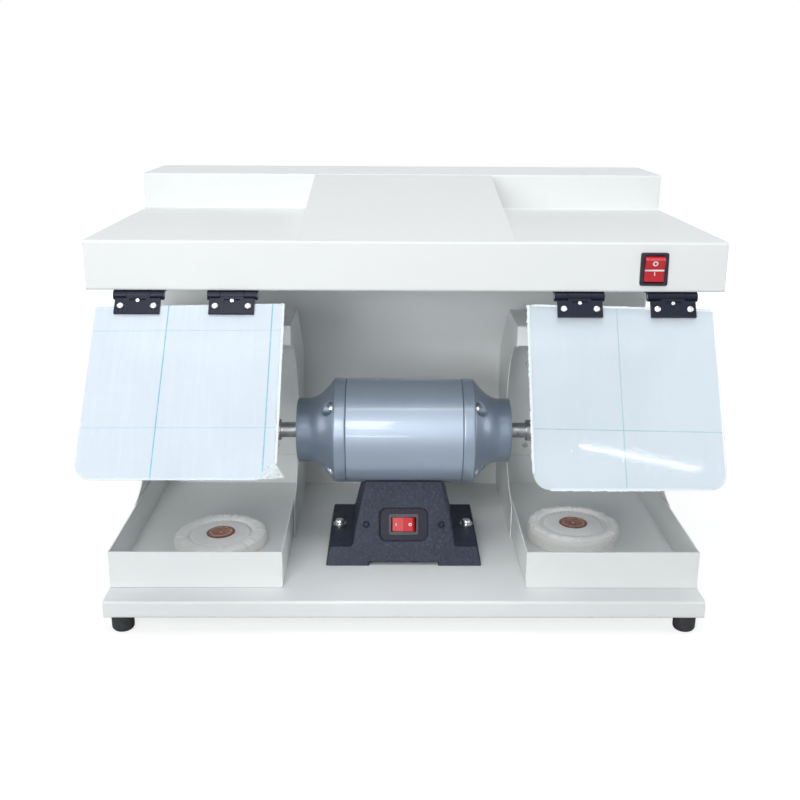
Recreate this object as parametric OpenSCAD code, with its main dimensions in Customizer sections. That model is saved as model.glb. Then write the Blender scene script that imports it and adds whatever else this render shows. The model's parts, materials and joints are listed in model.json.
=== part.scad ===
// Twin-spindle dental polishing lathe: a motor between two dust bays, with
// pull-out trays, swing-up shields and a suction column behind.
// Millimetres, +Z up, user at -Y. The origin is at bench level under the
// centre of the whole object's bounding box.

/* [Cabinet] */
// Width of the hood
hood_w = 600; // [590:2:660]
// Width of the base pan and of the rear column
base_w = 588; // [560:2:592]
// Distance from the base's front edge to the hood's fascia
hood_setback = 48; // [20:1:90]
// Depth of the low part of the hood, from fascia to rear box
hood_d = 274; // [250:1:340]
// Depth of the rear column
column_d = 126; // [100:1:180]
// Clear height between the base pan and the hood
work_h = 297; // [270:1:360]
// Height of the hood's fascia
fascia_h = 47; // [40:1:70]
// Height of the rear box above the hood
box_rise = 39.5; // [25:0.5:70]
// Height of the base pan's skirt
skirt_h = 18; // [14:1:30]
// Thickness of the folded sheet
sheet = 1.2; // [0.8:0.1:2]
// Inside radius of the bends in the sheet
bend_r = 1.2; // [0.6:0.1:3]
// Width of the return flanges
flange_w = 26; // [20:1:32]
// How far the rear cover lies inside the hood's rear face
rear_inset = 3; // [2:0.5:8]
// Width of the sloping cover on top of the hood
ramp_w = 204; // [120:2:300]

/* [Feet] */
// Height of a rubber foot
foot_h = 17; // [12:1:30]
// Diameter of a foot at the top
foot_d = 22; // [18:1:24]
// Flat diameter on which a foot rests
foot_rest_d = 13; // [11:1:16]
// Distance of a foot's centre from the base's side
foot_in_x = 16; // [13:1:30]
// Distance of a foot's centre from the base's front or back
foot_in_y = 12; // [12:1:13]

/* [Bays] */
// Clear width between the two dust bays
bay_gap_w = 239; // [232:1:300]
// Distance from the base's front edge to the bays' front edge
bay_setback = 156; // [130:1:175]
// Height of a bay above the base pan
bay_h = 240; // [228:1:260]
// Height of the strip across the top of a bay's front
header_h = 21; // [8:1:22]
// Depth of the flat part of a bay's roof
bay_roof_d = 89; // [40:1:120]
// Drop of a bay's roof towards the back wall
bay_drop = 64; // [20:1:80]
// Radius of the round notch in the bay walls, about the spindle
notch_r = 90; // [70:1:92]
// How far the outer bay wall laps the column's side
bay_lap = 30; // [20:1:60]

/* [Trays] */
// Height of a tray
tray_h = 38.5; // [25:0.5:38.5]
// Distance from the base's front edge to a tray's front
tray_setback = 30; // [10:1:60]
// Side clearance of a tray in its bay
tray_gap = 0.6; // [0.4:0.1:1.5]
// Gap below a tray and behind it
tray_lift = 0.3; // [0.2:0.1:1]

/* [Shields] */
// Width of a shield
shield_w = 176; // [150:1:180]
// Height of a shield
shield_h = 176; // [140:1:190]
// Thickness of a shield
shield_t = 3; // [2:0.5:5]
// Radius of a shield's lower corners
shield_r = 15; // [6:1:30]
// Distance of a shield's middle from the centre line
shield_x = 203; // [200:1:207]
// Fall of a shield's cut top edge towards the outside
shield_fall = 4; // [0:0.5:6]
// Swing of the left shield forward from hanging straight down
left_tilt = 41; // [0:1:80]
// Swing of the right shield forward from hanging straight down
right_tilt = 31; // [0:1:80]

/* [Hinges] */
// Width of a hinge
hinge_w = 47; // [40:1:56]
// Diameter of a hinge knuckle
knuckle_d = 9; // [8:0.5:12]
// Length of the middle knuckle, which moves
knuckle_mid = 22; // [16:1:26]
// Diameter of a hinge pin
hinge_pin_d = 4; // [3:0.5:5]
// Thickness of a hinge leaf
leaf_t = 3; // [2.5:0.5:4]
// Length of the lower leaf below the hinge axis
leaf_len = 21; // [18:1:26]
// Length of the upper leaf behind the hinge axis
top_leaf_len = 20; // [16:1:22]
// Distance of the upper leaf's screws behind the hinge axis
top_screw_back = 12.4; // [10:0.2:12.5]
// Distance between the two screws of a leaf
leaf_screw_span = 30.8; // [26:0.2:34]
// Distance between the two hinges of a shield
hinge_span = 88; // [70:1:100]

/* [Motor] */
// Distance from the base's front edge to the shaft
motor_back = 148; // [140:1:170]
// Height of the shaft above the base pan
shaft_h = 128; // [120:1:135]
// Outside diameter of the motor
motor_d = 111.4; // [100:0.2:118]
// Length of the barrel between the end caps
barrel_l = 121; // [116:1:130]
// Wall thickness of the barrel
barrel_t = 3; // [2:0.5:5]
// Width of an end cap's straight band
band_l = 12.5; // [10:0.5:15]
// Length of an end cap's curved flare
flare_l = 28; // [26:0.5:30]
// Length of an end cap's neck
neck_l = 12; // [11:0.5:14]
// Diameter of the neck
neck_d = 68; // [62:1:74]
// Diameter of the shaft
shaft_d = 16; // [12:0.5:18]
// Outside diameter of a bearing
bearing_d = 35; // [32:1:42]
// Width of a bearing
bearing_w = 11; // [9:1:12]
// Radial running clearance
run_gap = 0.05; // [0.02:0.01:0.1]
// Radius on which the tie bolts lie
tie_r = 47.6; // [46:0.2:48]
// Diameter of a tie bolt's head
tie_head_d = 8.6; // [7:0.2:9.5]
// Diameter of a tie bolt
tie_d = 5; // [4:0.5:5.5]
// Outside diameter of the rotor core
rotor_d = 63; // [56:1:66]
// Length of the stator stack
stack_l = 56; // [40:1:66]

/* [Spindles] */
// Distance from the neck to the spindle's collar
collar_out = 18; // [8:1:26]
// Diameter of the spindle's collar
collar_d = 22.6; // [20:0.2:28]
// Thickness of the collar
collar_t = 6; // [4:0.5:9]
// Outside diameter of the sleeve on the shaft
sleeve_d = 20.5; // [19:0.5:22]
// Length of the sleeve outside the collar
sleeve_l = 20; // [16:1:26]
// Length of the tapered thread
screw_l = 62; // [40:1:80]
// Diameter of the thread where it starts
screw_d1 = 15; // [12:0.5:16]
// Diameter of the thread at its tip
screw_d2 = 5; // [4:0.5:7]
// Pitch of the thread
screw_pitch = 3.9; // [3:0.1:6]
// Depth of the thread
screw_depth = 1.3; // [0.6:0.1:1.6]

/* [Pedestal] */
// Height of the pedestal's crown above the base pan
crown_h = 82; // [80:1:84]
// Width of the pedestal across its ears
ped_w = 163; // [150:1:180]
// Front-to-back length of the pedestal's foot
ped_d = 134; // [120:2:150]
// Height of the ears
ear_h = 19; // [14:1:24]
// Width of the pedestal's body just above the ears
body_w = 109; // [100:1:114]
// Width of the crown
crown_w = 81; // [70:1:92]
// Front-to-back length of the crown
crown_d = 68; // [64:1:74]
// Wall thickness of the casting
cast_t = 5; // [4:0.5:7]
// Distance between the two holding-down bolts
ped_bolt_span = 139; // [134:1:144]
// Width of the recess round the motor's switch
recess_w = 50; // [42:1:56]
// Height of the recess round the motor's switch
recess_h = 34; // [30:1:38]
// Distance between the screws that hold the switch plate
plate_span = 79; // [70:1:80]

/* [Switches] */
// Width of the hood switch's bezel
hood_bezel_w = 26; // [22:1:32]
// Height of the hood switch's bezel
hood_bezel_h = 31; // [29:1:36]
// Distance of the hood switch from the centre line
hood_switch_x = 231.5; // [150:0.5:260]
// Length of the motor switch's bezel
motor_bezel_w = 31; // [28:1:36]
// Height of the motor switch's bezel
motor_bezel_h = 22; // [18:1:26]
// Angle through which a rocker tips
rocker_throw = 20; // [12:1:24]

/* [Suction] */
// Height of a fan's axis above the base pan
fan_h = 104; // [90:1:110]
// Side length of a fan's frame
fan_w = 120; // [92:4:124]
// Depth of a fan's frame
fan_d = 25; // [25:1:38]
// Number of blades of a fan
blades = 7; // [5:1:9]

/* [Buffs] */
// Diameter of a cloth buff
buff_d = 101.6; // [80:0.8:125]
// Thickness of the buff in the left tray
left_buff_t = 12; // [6:1:24]
// Thickness of the buff in the right tray
right_buff_t = 18; // [6:1:24]
// Diameter of a buff's leather washer
washer_d = 31; // [24:1:40]

/* [Hidden] */

cream = "#E9E9E2";
silver = "#A9ADB2";
$fn = 48;
eps = 0.05;          // overrun of a cut past the face that it opens
fit = 0.02;          // radial fit of a screw or pin in its own body
half = 0.5;

// Hinge axis below the hood and behind the fascia's front face
hinge_drop = 0.6 + knuckle_d / 2;
hinge_in = knuckle_d / 2 - 1;
leaf_gap = 0.4;
shield_top = knuckle_d / 2 + 4;
shield_reach = (shield_top + shield_h) * sin(max(left_tilt, right_tilt));

// Main planes
rear_head_h = 1.6;
total_d = rear_head_h + column_d + hood_d - hinge_in + shield_reach;
y_rear = total_d / 2 - rear_head_h;
y_step = y_rear - column_d;
y_fascia = y_step - hood_d;
y_front = y_fascia - hood_setback;
y_cover = y_rear - rear_inset;
y_col0 = y_step + sheet + 0.2;
y_col1 = y_cover - sheet;
z_deck = foot_h + skirt_h;
z_hood = z_deck + work_h;
z_roof = z_hood + fascia_h;
z_top = z_roof + box_rise;
y_axis = y_front + motor_back;
z_axis = z_deck + shaft_h;
y_hinge = y_fascia + hinge_in;
z_hinge = z_hood - hinge_drop;

// Bays and trays
bay_x0 = bay_gap_w / 2;
bay_in0 = bay_x0 + sheet;
bay_in1 = base_w / 2;
bay_mid = (bay_in0 + bay_in1) / 2;
y_bay = y_front + bay_setback;
z_bay = z_deck + bay_h;
tray_x0 = bay_in0 + tray_gap;
tray_x1 = bay_in1 - tray_gap;
tray_y0 = y_front + tray_setback;
tray_y1 = y_col0 - tray_lift;
tray_z0 = z_deck + tray_lift;
tray_floor = tray_z0 + sheet;

// Screws: radius and height of a pan head, radius of the shank
head_r = 3.4;
head_h = 1.8;
shank_r = 1.9;
hole_r = shank_r + fit;

// Suction grille in the column's front wall
fan_z = z_deck + fan_h;
grille_w = 96;
grille_slots = 9;
grille_pitch = 9;
grille_slot_h = 4;

// ---- helpers -------------------------------------------------------------

function unit(v) = v / norm(v);
function left_of(d) = [-d[1], d[0]];
function turn(a, b) = atan2(a[0] * b[1] - a[1] * b[0], a * b);
function spin(v, a) = [v[0] * cos(a) - v[1] * sin(a), v[0] * sin(a) + v[1] * cos(a)];

// Points of one bend of a folded strip, on the face at distance side from its
// middle line
function bend_points(p, i, side, steps) =
    let (d1 = unit(p[i] - p[i - 1]), d2 = unit(p[i + 1] - p[i]), a = turn(d1, d2),
        s = sign(a), rc = bend_r + sheet / 2,
        start = p[i] - d1 * rc * tan(abs(a) / 2), c = start + left_of(d1) * s * rc)
    [for (k = [0:steps]) c + spin(-left_of(d1) * s, a * k / steps) * (rc - s * side)];

// One face of a folded strip
function strip_side(p, side, steps = 4) =
    let (n = len(p) - 1)
    concat([p[0] + left_of(unit(p[1] - p[0])) * side],
        [for (i = [1:n - 1]) each bend_points(p, i, side, steps)],
        [p[n] + left_of(unit(p[n] - p[n - 1])) * side]);

function reversed(p) = [for (i = [len(p) - 1:-1:0]) p[i]];

// Section of a folded sheet whose middle line is p
module strip(p) {
    polygon(concat(strip_side(p, sheet / 2), reversed(strip_side(p, -sheet / 2))));
}

function arc_points(c, r, a0, a1, steps) =
    [for (k = [0:steps]) c + r * [cos(a0 + (a1 - a0) * k / steps), sin(a0 + (a1 - a0) * k / steps)]];

// A (y, z) outline between two x planes
module slab_x(x0, x1) {
    translate([x0, 0, 0]) rotate([90, 0, 90]) linear_extrude(x1 - x0) children();
}

// An (x, z) outline between two y planes
module slab_y(y0, y1) {
    translate([0, y1, 0]) rotate([90, 0, 0]) linear_extrude(y1 - y0) children();
}

// A box between two corners
module block(a, b) {
    translate(a) cube(b - a);
}

module mirrored() {
    children();
    mirror([1, 0, 0]) children();
}

module on_side(s) {
    mirror([s < 0 ? 1 : 0, 0, 0]) children();
}

module cyl_x(x0, x1, r) {
    translate([x0, 0, 0]) rotate([0, 90, 0]) cylinder(h = x1 - x0, r = r);
}

module cyl_y(y0, y1, r) {
    translate([0, y1, 0]) rotate([90, 0, 0]) cylinder(h = y1 - y0, r = r);
}

module round_rect(w, h, r) {
    square([w - 2 * r, h], center = true);
    square([w, h - 2 * r], center = true);
    for (x = [-1, 1], y = [-1, 1])
        translate([x * (w / 2 - r), y * (h / 2 - r)]) circle(r);
}

// Pan-head screw: its head sits on z = 0 and its shank runs down
module pan_screw(length, r = shank_r, hr = head_r, hh = head_h) {
    translate([0, 0, hh * half]) cylinder(h = hh * half, r1 = hr, r2 = hr * 0.8);
    cylinder(h = hh * half, r = hr);
    translate([0, 0, -length]) cylinder(h = length, r = r);
}

// Hexagon nut round the z axis, standing on z = 0
module hex_nut(across, h, r) {
    difference() {
        cylinder(h = h, r = across / sqrt(3), $fn = 6);
        translate([0, 0, -eps]) cylinder(h = h + 2 * eps, r = r + fit);
    }
}

// ---- base ----------------------------------------------------------------

base_line = [[y_front + flange_w, foot_h + sheet / 2],
    [y_front + sheet / 2, foot_h + sheet / 2], [y_front + sheet / 2, z_deck - sheet / 2],
    [y_col1 - sheet / 2, z_deck - sheet / 2], [y_col1 - sheet / 2, foot_h + sheet / 2],
    [y_col1 - flange_w, foot_h + sheet / 2]];

module at_feet() {
    for (x = [-1, 1], y = [y_front + foot_in_y, y_col1 - foot_in_y])
        translate([x * (base_w / 2 - foot_in_x), y, 0]) children();
}

module at_ped_bolts() {
    for (x = [-1, 1]) translate([x * ped_bolt_span / 2, y_axis, 0]) children();
}

ped_bolt_r = 3;

module base_pan() {
    color(cream) difference() {
        union() {
            slab_x(-base_w / 2 + sheet, base_w / 2 - sheet) strip(base_line);
            mirrored() slab_x(base_w / 2 - sheet, base_w / 2)
                polygon(strip_side(base_line, sheet / 2));
        }
        at_feet() translate([0, 0, foot_h - eps]) cylinder(h = sheet + 2 * eps, r = hole_r);
        at_ped_bolts() translate([0, 0, z_deck - sheet - eps])
            cylinder(h = sheet + 2 * eps, r = ped_bolt_r + fit);
        at_column_screws() translate([0, 0, -sheet - eps])
            cylinder(h = sheet + 2 * eps, r = hole_r);
    }
}

foot_well_r = 4.2;
foot_floor = 6;

// A rubber foot: a dome on its flat, with a well for its screw
module rubber_feet() {
    dome_r = (foot_d - foot_rest_d) / 2;
    color("#1B1B1C") at_feet() difference() {
        rotate_extrude() polygon(concat([[0, 0]],
            arc_points([foot_rest_d / 2, dome_r], dome_r, -90, 0, 6),
            [[foot_d / 2, foot_h], [0, foot_h]]));
        translate([0, 0, -eps]) cylinder(h = foot_h - foot_floor + eps, r = foot_well_r);
        translate([0, 0, -eps]) cylinder(h = foot_h + 2 * eps, r = hole_r);
    }
}

module foot_screws() {
    color("silver") at_feet() {
        translate([0, 0, foot_h - foot_floor]) mirror([0, 0, 1])
            pan_screw(foot_floor + sheet + nut_h + 1);
        translate([0, 0, foot_h + sheet]) hex_nut(7, nut_h, shank_r);
    }
}

// ---- rear column and its cover ------------------------------------------

column_line = [[-base_w / 2 + flange_w, y_col1 - sheet / 2],
    [-base_w / 2 + sheet / 2, y_col1 - sheet / 2],
    [-base_w / 2 + sheet / 2, y_col0 + sheet / 2],
    [base_w / 2 - sheet / 2, y_col0 + sheet / 2],
    [base_w / 2 - sheet / 2, y_col1 - sheet / 2],
    [base_w / 2 - flange_w, y_col1 - sheet / 2]];
z_col1 = z_top - sheet - 0.7 * bend_r;
fan_screw_span = fan_w - 15;

module at_fans() {
    for (x = [-1, 1]) translate([x * bay_mid, 0, fan_z]) children();
}

module fan_screw_holes(y0, y1, r) {
    for (x = [-1, 1], z = [-1, 1])
        translate([x * fan_screw_span / 2, 0, z * fan_screw_span / 2]) cyl_y(y0, y1, r);
}

// Slots in the back wall of a bay, cut to the outline of the fan's circle
module grille_cut() {
    slab_y(y_col0 - eps, y_col0 + sheet + eps) intersection() {
        for (i = [0:grille_slots - 1])
            translate([-grille_w / 2, (i - (grille_slots - 1) / 2) * grille_pitch
                - grille_slot_h / 2]) square([grille_w, grille_slot_h]);
        circle(grille_w / 2);
    }
}

side_screw_in = 22;
side_screw_z = [z_deck + side_screw_in, z_bay - bay_drop - side_screw_in];

module at_side_screws() {
    for (z = side_screw_z) translate([base_w / 2, y_col0 + bay_lap / 2, z]) children();
}

cover_screw_x = base_w / 2 - flange_w / 2;
cover_screw_in = 30;

module at_cover_screws() {
    for (x = [-1, 1], z = [z_deck + cover_screw_in, (z_deck + z_hood) / 2,
        z_hood - cover_screw_in])
        translate([x * cover_screw_x, 0, z]) children();
}

column_screw_in = [60, 30];
column_screw_x = base_w / 2 - column_screw_in[0];
hood_screw_in = 26;

module at_column_screws() {
    for (x = [-1, 1], y = [y_col0 + column_screw_in[1], y_col1 - column_screw_in[1]])
        translate([x * column_screw_x, y, z_deck]) children();
}

module at_hood_screws() {
    for (x = [-1, 1], z = [z_hood + hood_screw_in, z_top - hood_screw_in])
        translate([x * cover_screw_x, 0, z]) children();
}

module rear_column() {
    color(cream) difference() {
        union() {
            translate([0, 0, z_deck]) linear_extrude(z_col1 - z_deck) strip(column_line);
            for (z = [z_deck, z_col1 - sheet])
                block([-base_w / 2 + sheet, y_col0 + sheet, z],
                    [base_w / 2 - sheet, y_col1 - sheet, z + sheet]);
        }
        at_fans() {
            grille_cut();
            fan_screw_holes(y_col0 - eps, y_col0 + sheet + eps, hole_r);
        }
        mirrored() at_side_screws() cyl_x(-sheet - eps, eps, hole_r);
        at_cover_screws() cyl_y(y_col1 - sheet - eps, y_col1 + eps, hole_r);
        at_hood_screws() cyl_y(y_col1 - sheet - eps, y_col1 + eps, hole_r);
        at_column_screws() translate([0, 0, -eps]) cylinder(h = sheet + 2 * eps, r = hole_r);
    }
}

nut_h = 3.2;

// Screws and nuts that hold the column's floor to the base pan
module column_screws() {
    color("silver") at_column_screws() {
        translate([0, 0, sheet]) pan_screw(2 * sheet + nut_h + 1);
        translate([0, 0, -sheet - nut_h]) hex_nut(7, nut_h, shank_r);
    }
}

// Screws through the hood's back into the column, each with its spacer
module hood_screws() {
    color("silver") at_hood_screws() {
        translate([0, y_rear, 0]) rotate([-90, 0, 0])
            pan_screw(y_rear - y_col1 + sheet + 4, hh = rear_head_h);
        translate([0, y_col1, 0]) rotate([-90, 0, 0]) difference() {
            cylinder(h = y_rear - sheet - y_col1, r = head_r);
            translate([0, 0, -eps]) cylinder(h = y_rear - sheet - y_col1 + 2 * eps, r = hole_r);
        }
    }
}

cover_w = base_w - 2;
cover_z0 = z_deck + 2;
cover_z1 = z_hood - 2;
louvre_w = 120;
louvre_h = 5;
louvre_pitch = 13;
louvre_rows = 12;
louvre_rise = 2;
louvre_skin = 0.8;
louvre_x = 150;
louvre_up = 164;
louvre_z = z_deck + louvre_up;
inlet_w = 27.6;
inlet_h = 20;
inlet_in = 60;
inlet_x = -base_w / 2 + inlet_in;
inlet_up = 45;
inlet_z = z_deck + inlet_up;

module at_louvres() {
    for (x = [-1, 1], i = [0:louvre_rows - 1])
        translate([x * louvre_x, y_cover, louvre_z + (i - louvre_rows / 2) * louvre_pitch])
            children();
}

// Rear cover with pressed louvres that open downwards
module rear_cover() {
    color(cream) difference() {
        union() {
            block([-cover_w / 2, y_col1, cover_z0], [cover_w / 2, y_cover, cover_z1]);
            at_louvres() slab_x(-louvre_w / 2, louvre_w / 2)
                polygon([[-eps, louvre_h + 3], [louvre_rise, 0], [-eps, 0]]);
        }
        at_louvres() slab_x(-louvre_w / 2 + sheet, louvre_w / 2 - sheet)
            polygon([[-sheet - eps, louvre_h + 1], [0, louvre_h],
                [louvre_rise - louvre_skin, -eps], [-sheet - eps, -eps]]);
        translate([inlet_x, 0, inlet_z])
            block([-inlet_w / 2, y_col1 - eps, -inlet_h / 2],
                [inlet_w / 2, y_cover + eps, inlet_h / 2]);
        at_cover_screws() cyl_y(y_col1 - eps, y_cover + eps, hole_r);
    }
}

module rear_cover_screws() {
    color("silver") at_cover_screws() translate([0, y_cover, 0]) rotate([-90, 0, 0])
        pan_screw(2 * sheet + 4);
}

inlet_flange = 1.8;
inlet_deep = 22;
pin_t = 2;

// Appliance inlet with three contact blades in an open well
module power_inlet() {
    color("#1B1B1C") translate([inlet_x, y_cover, inlet_z]) {
        difference() {
            union() {
                slab_y(0, inlet_flange) round_rect(inlet_w + 8, inlet_h + 5, 3);
                block([-inlet_w / 2 + 0.1, -inlet_deep, -inlet_h / 2 + 0.1],
                    [inlet_w / 2 - 0.1, eps, inlet_h / 2 - 0.1]);
            }
            slab_y(-inlet_deep + 3, inlet_flange + eps)
                round_rect(inlet_w - 3.2, inlet_h - 3.2, 2.5);
        }
        for (x = [-1, 0, 1])
            block([x * 7 - pin_t / 2, -inlet_deep + 3 - eps, x == 0 ? 1 : -5],
                [x * 7 + pin_t / 2, -3, x == 0 ? 5 : -1]);
    }
}

// ---- hood ----------------------------------------------------------------

hood_line = [[y_fascia + flange_w, z_hood + sheet / 2],
    [y_fascia + sheet / 2, z_hood + sheet / 2], [y_fascia + sheet / 2, z_roof - sheet / 2],
    [y_step + sheet / 2, z_roof - sheet / 2], [y_step + sheet / 2, z_top - sheet / 2],
    [y_rear - sheet / 2, z_top - sheet / 2], [y_rear - sheet / 2, z_hood]];
hood_switch_z = (z_hood + z_roof) / 2 - 1.5;

module at_hinges() {
    for (x = [-1, 1], h = [-1, 1]) translate([x * bay_mid + h * hinge_span / 2, 0, 0]) children();
}

module at_top_leaf_screws() {
    at_hinges() for (s = [-1, 1])
        translate([s * leaf_screw_span / 2, y_hinge + top_screw_back, z_hood]) children();
}

lamp_in = 75;
lamp_y = y_fascia + lamp_in;

// One folded sheet from the fascia's return flange over the top to the back,
// closed by a cheek at each end
module hood_shell() {
    color(cream) difference() {
        union() {
            slab_x(-hood_w / 2 + sheet, hood_w / 2 - sheet) strip(hood_line);
            mirrored() slab_x(hood_w / 2 - sheet, hood_w / 2)
                polygon(strip_side(hood_line, sheet / 2));
        }
        translate([hood_switch_x, 0, hood_switch_z])
            block([-hood_body_w / 2 - 0.1, y_fascia - eps, -hood_body_h / 2 - 0.1],
                [hood_body_w / 2 + 0.1, y_fascia + sheet + eps, hood_body_h / 2 + 0.1]);
        at_top_leaf_screws() translate([0, 0, -eps]) cylinder(h = sheet + 2 * eps, r = hole_r);
        at_hood_screws() cyl_y(y_rear - sheet - eps, y_rear + eps, hole_r);
    }
}

ramp_lip = 2;
ramp_top = 1;

// Sloping cover from the hood's front edge up to the rear box
module ramp_cover() {
    a = [y_fascia + ramp_lip, z_roof];
    b = [y_step, z_roof];
    c = [y_step, z_top - ramp_top];
    inner = sheet * (c[0] - a[0]) / (c[1] - a[1]);
    color(cream) difference() {
        slab_x(-ramp_w / 2, ramp_w / 2)
            polygon([a, b - [bend_r, 0], b + [0, bend_r], c]);
        slab_x(-ramp_w / 2 + sheet, ramp_w / 2 - sheet)
            polygon([[a[0] + inner, z_roof - eps], [b[0] + eps, z_roof - eps],
                [c[0] + eps, c[1] - sheet]]);
    }
}

// ---- lamp ----------------------------------------------------------------

lamp_l = 450;
lamp_w = 34;
lamp_h = 16;
tube_d = 16;
socket_t = 12;

module lamp_batten() {
    color("white") translate([0, lamp_y, z_roof - sheet]) {
        block([-lamp_l / 2, -lamp_w / 2, -lamp_h], [lamp_l / 2, lamp_w / 2, 0]);
        for (x = [-1, 1]) translate([x * (lamp_l / 2 - socket_t / 2), 0, 0])
            block([-socket_t / 2, -tube_d / 2, -lamp_h - tube_d - 2],
                [socket_t / 2, tube_d / 2, -lamp_h]);
    }
}

module lamp_tube() {
    cap_l = 8;
    tube_l = lamp_l - 2 * socket_t;
    color("ivory") translate([0, lamp_y, z_roof - sheet - lamp_h - tube_d / 2 - 1]) {
        cyl_x(-tube_l / 2, tube_l / 2, tube_d / 2 - 1);
        for (x = [-tube_l / 2, tube_l / 2 - cap_l]) cyl_x(x, x + cap_l, tube_d / 2 - 0.5);
    }
}

// ---- dust bays -----------------------------------------------------------

bay_back_z = z_bay - bay_drop;
bay_roof_line = [[y_bay + sheet / 2, z_bay - header_h], [y_bay + sheet / 2, z_bay - sheet / 2],
    [y_bay + bay_roof_d, z_bay - sheet / 2], [y_col0 - sheet, bay_back_z - sheet / 2]];

module bay_wall_outline() {
    difference() {
        polygon([[y_bay, z_deck], [y_bay, z_bay], [y_bay + bay_roof_d, z_bay],
            [y_col0, bay_back_z], [y_col0, z_deck]]);
        translate([y_axis, z_axis]) circle(notch_r, $fn = 96);
    }
}

// The dust bay on the +X side: two notched walls under a bent roof whose
// front edge turns down as a strip; the outer wall laps the base and column
module bay_hood() {
    color(cream) {
        slab_x(bay_x0, bay_in0) bay_wall_outline();
        difference() {
            slab_x(bay_in1, bay_in1 + sheet) {
                bay_wall_outline();
                polygon([[y_bay, foot_h], [y_bay, z_deck], [y_col0, z_deck],
                    [y_col0, bay_back_z], [y_col0 + bay_lap, bay_back_z],
                    [y_col0 + bay_lap, foot_h]]);
            }
            at_side_screws() cyl_x(-eps, sheet + eps, hole_r);
        }
        slab_x(bay_in0, bay_in1) strip(bay_roof_line);
    }
}

module left_bay_hood() { on_side(-1) bay_hood(); }
module right_bay_hood() { on_side(1) bay_hood(); }

module bay_screws() {
    color("silver") mirrored() at_side_screws() translate([sheet, 0, 0]) rotate([0, 90, 0])
        pan_screw(2 * sheet + 4, hh = 1.5);
}

// ---- trays ---------------------------------------------------------------

tray_line = [[tray_x0 + sheet / 2, tray_z0 + tray_h], [tray_x0 + sheet / 2, tray_z0 + sheet / 2],
    [tray_x1 - sheet / 2, tray_z0 + sheet / 2], [tray_x1 - sheet / 2, tray_z0 + tray_h]];

// Folded tray: floor and sides in one sheet, ends let in between them
module tray() {
    color(cream) {
        slab_y(tray_y0, tray_y1) strip(tray_line);
        for (y = [tray_y0, tray_y1 - sheet])
            slab_y(y, y + sheet) polygon(strip_side(tray_line, -sheet / 2));
    }
}

module left_tray() { on_side(-1) tray(); }
module right_tray() { on_side(1) tray(); }

// ---- suction -------------------------------------------------------------

fan_y0 = y_col0 + sheet;
fan_y1 = fan_y0 + fan_d;
fan_bore_r = fan_w / 2 - 3;
fan_hub_r = 18;
fan_hub_l = 9;
fan_shaft_r = 2;
fan_tip_gap = 1.5;
blade_t = 1.6;
blade_pitch = 35;

module fan_frames() {
    color("#2A2A2C") at_fans() {
        difference() {
            block([-fan_w / 2, fan_y0, -fan_w / 2], [fan_w / 2, fan_y1, fan_w / 2]);
            cyl_y(fan_y0 - eps, fan_y1 + eps, fan_bore_r);
            fan_screw_holes(fan_y0 - eps, fan_y1 + eps, hole_r);
        }
        difference() {
            union() {
                cyl_y(fan_y1 - fan_hub_l, fan_y1, fan_hub_r);
                for (a = [45:90:315]) rotate([0, a, 0])
                    block([fan_hub_r - 1, fan_y1 - 3, -3], [fan_bore_r + 1, fan_y1, 3]);
            }
            cyl_y(fan_y1 - fan_hub_l - eps, fan_y1 - 1, fan_shaft_r + run_gap);
        }
    }
}

// Screws from the bay side through the grille wall and the fan, with nuts
module fan_screws() {
    color("silver") at_fans() for (x = [-1, 1], z = [-1, 1])
        translate([x * fan_screw_span / 2, 0, z * fan_screw_span / 2]) {
            translate([0, y_col0, 0]) rotate([90, 0, 0])
                pan_screw(sheet + fan_d + nut_h + 1);
            translate([0, fan_y1, 0]) rotate([-90, 0, 0]) hex_nut(7, nut_h, shank_r);
        }
}

module impeller() {
    y0 = fan_y0 + 1.5;
    y1 = fan_y1 - fan_hub_l - 1;
    chord = y1 - y0 - 1;
    color("#3A3B3E") {
        cyl_y(y0, y1, fan_hub_r);
        cyl_y(y1, fan_y1 - 2, fan_shaft_r);
        intersection() {
            cyl_y(y0, y1, fan_bore_r - fan_tip_gap);
            for (i = [0:blades - 1]) rotate([0, 360 * i / blades, 0])
                translate([0, (y0 + y1) / 2, 0]) rotate([blade_pitch, 0, 0])
                    block([fan_hub_r - 1, -chord / 2, -blade_t / 2],
                        [fan_bore_r, chord / 2, blade_t / 2]);
        }
    }
}

module left_impeller() { translate([-bay_mid, 0, fan_z]) impeller(); }
module right_impeller() { translate([bay_mid, 0, fan_z]) impeller(); }

filter_t = 12;
filter_edge = 6;

// Filter mats on the inside of the louvres
module filter_pads() {
    h = louvre_rows * louvre_pitch;
    color("#D8D8D0") mirrored() translate([louvre_x, 0, louvre_z])
        block([-louvre_w / 2 - filter_edge, y_col1 - filter_t, -h / 2 - filter_edge],
            [louvre_w / 2 + filter_edge, y_col1, h / 2 + filter_edge]);
}

// ---- hinges and shields --------------------------------------------------

leaf_w = hinge_w - 4.5;
shield_screw_r = 1.5;
shield_head_r = 2.9;
leaf_screw_u = shield_top + 5;
adjuster_u = 7.4;
slot_w = 15;
slot_h = 3.6;
slot_in = 1.2;
adjuster_r = 1.7;
adjuster_h = 1.4;
knuckle_r = knuckle_d / 2;
knuckle_end = (hinge_w - knuckle_mid) / 2 - leaf_gap;

// Frame of a swung shield: its hinge axis is x, it hangs down -z, front is -y
module swung(tilt) {
    translate([0, y_hinge, z_hinge]) rotate([-tilt, 0, 0]) children();
}

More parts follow.
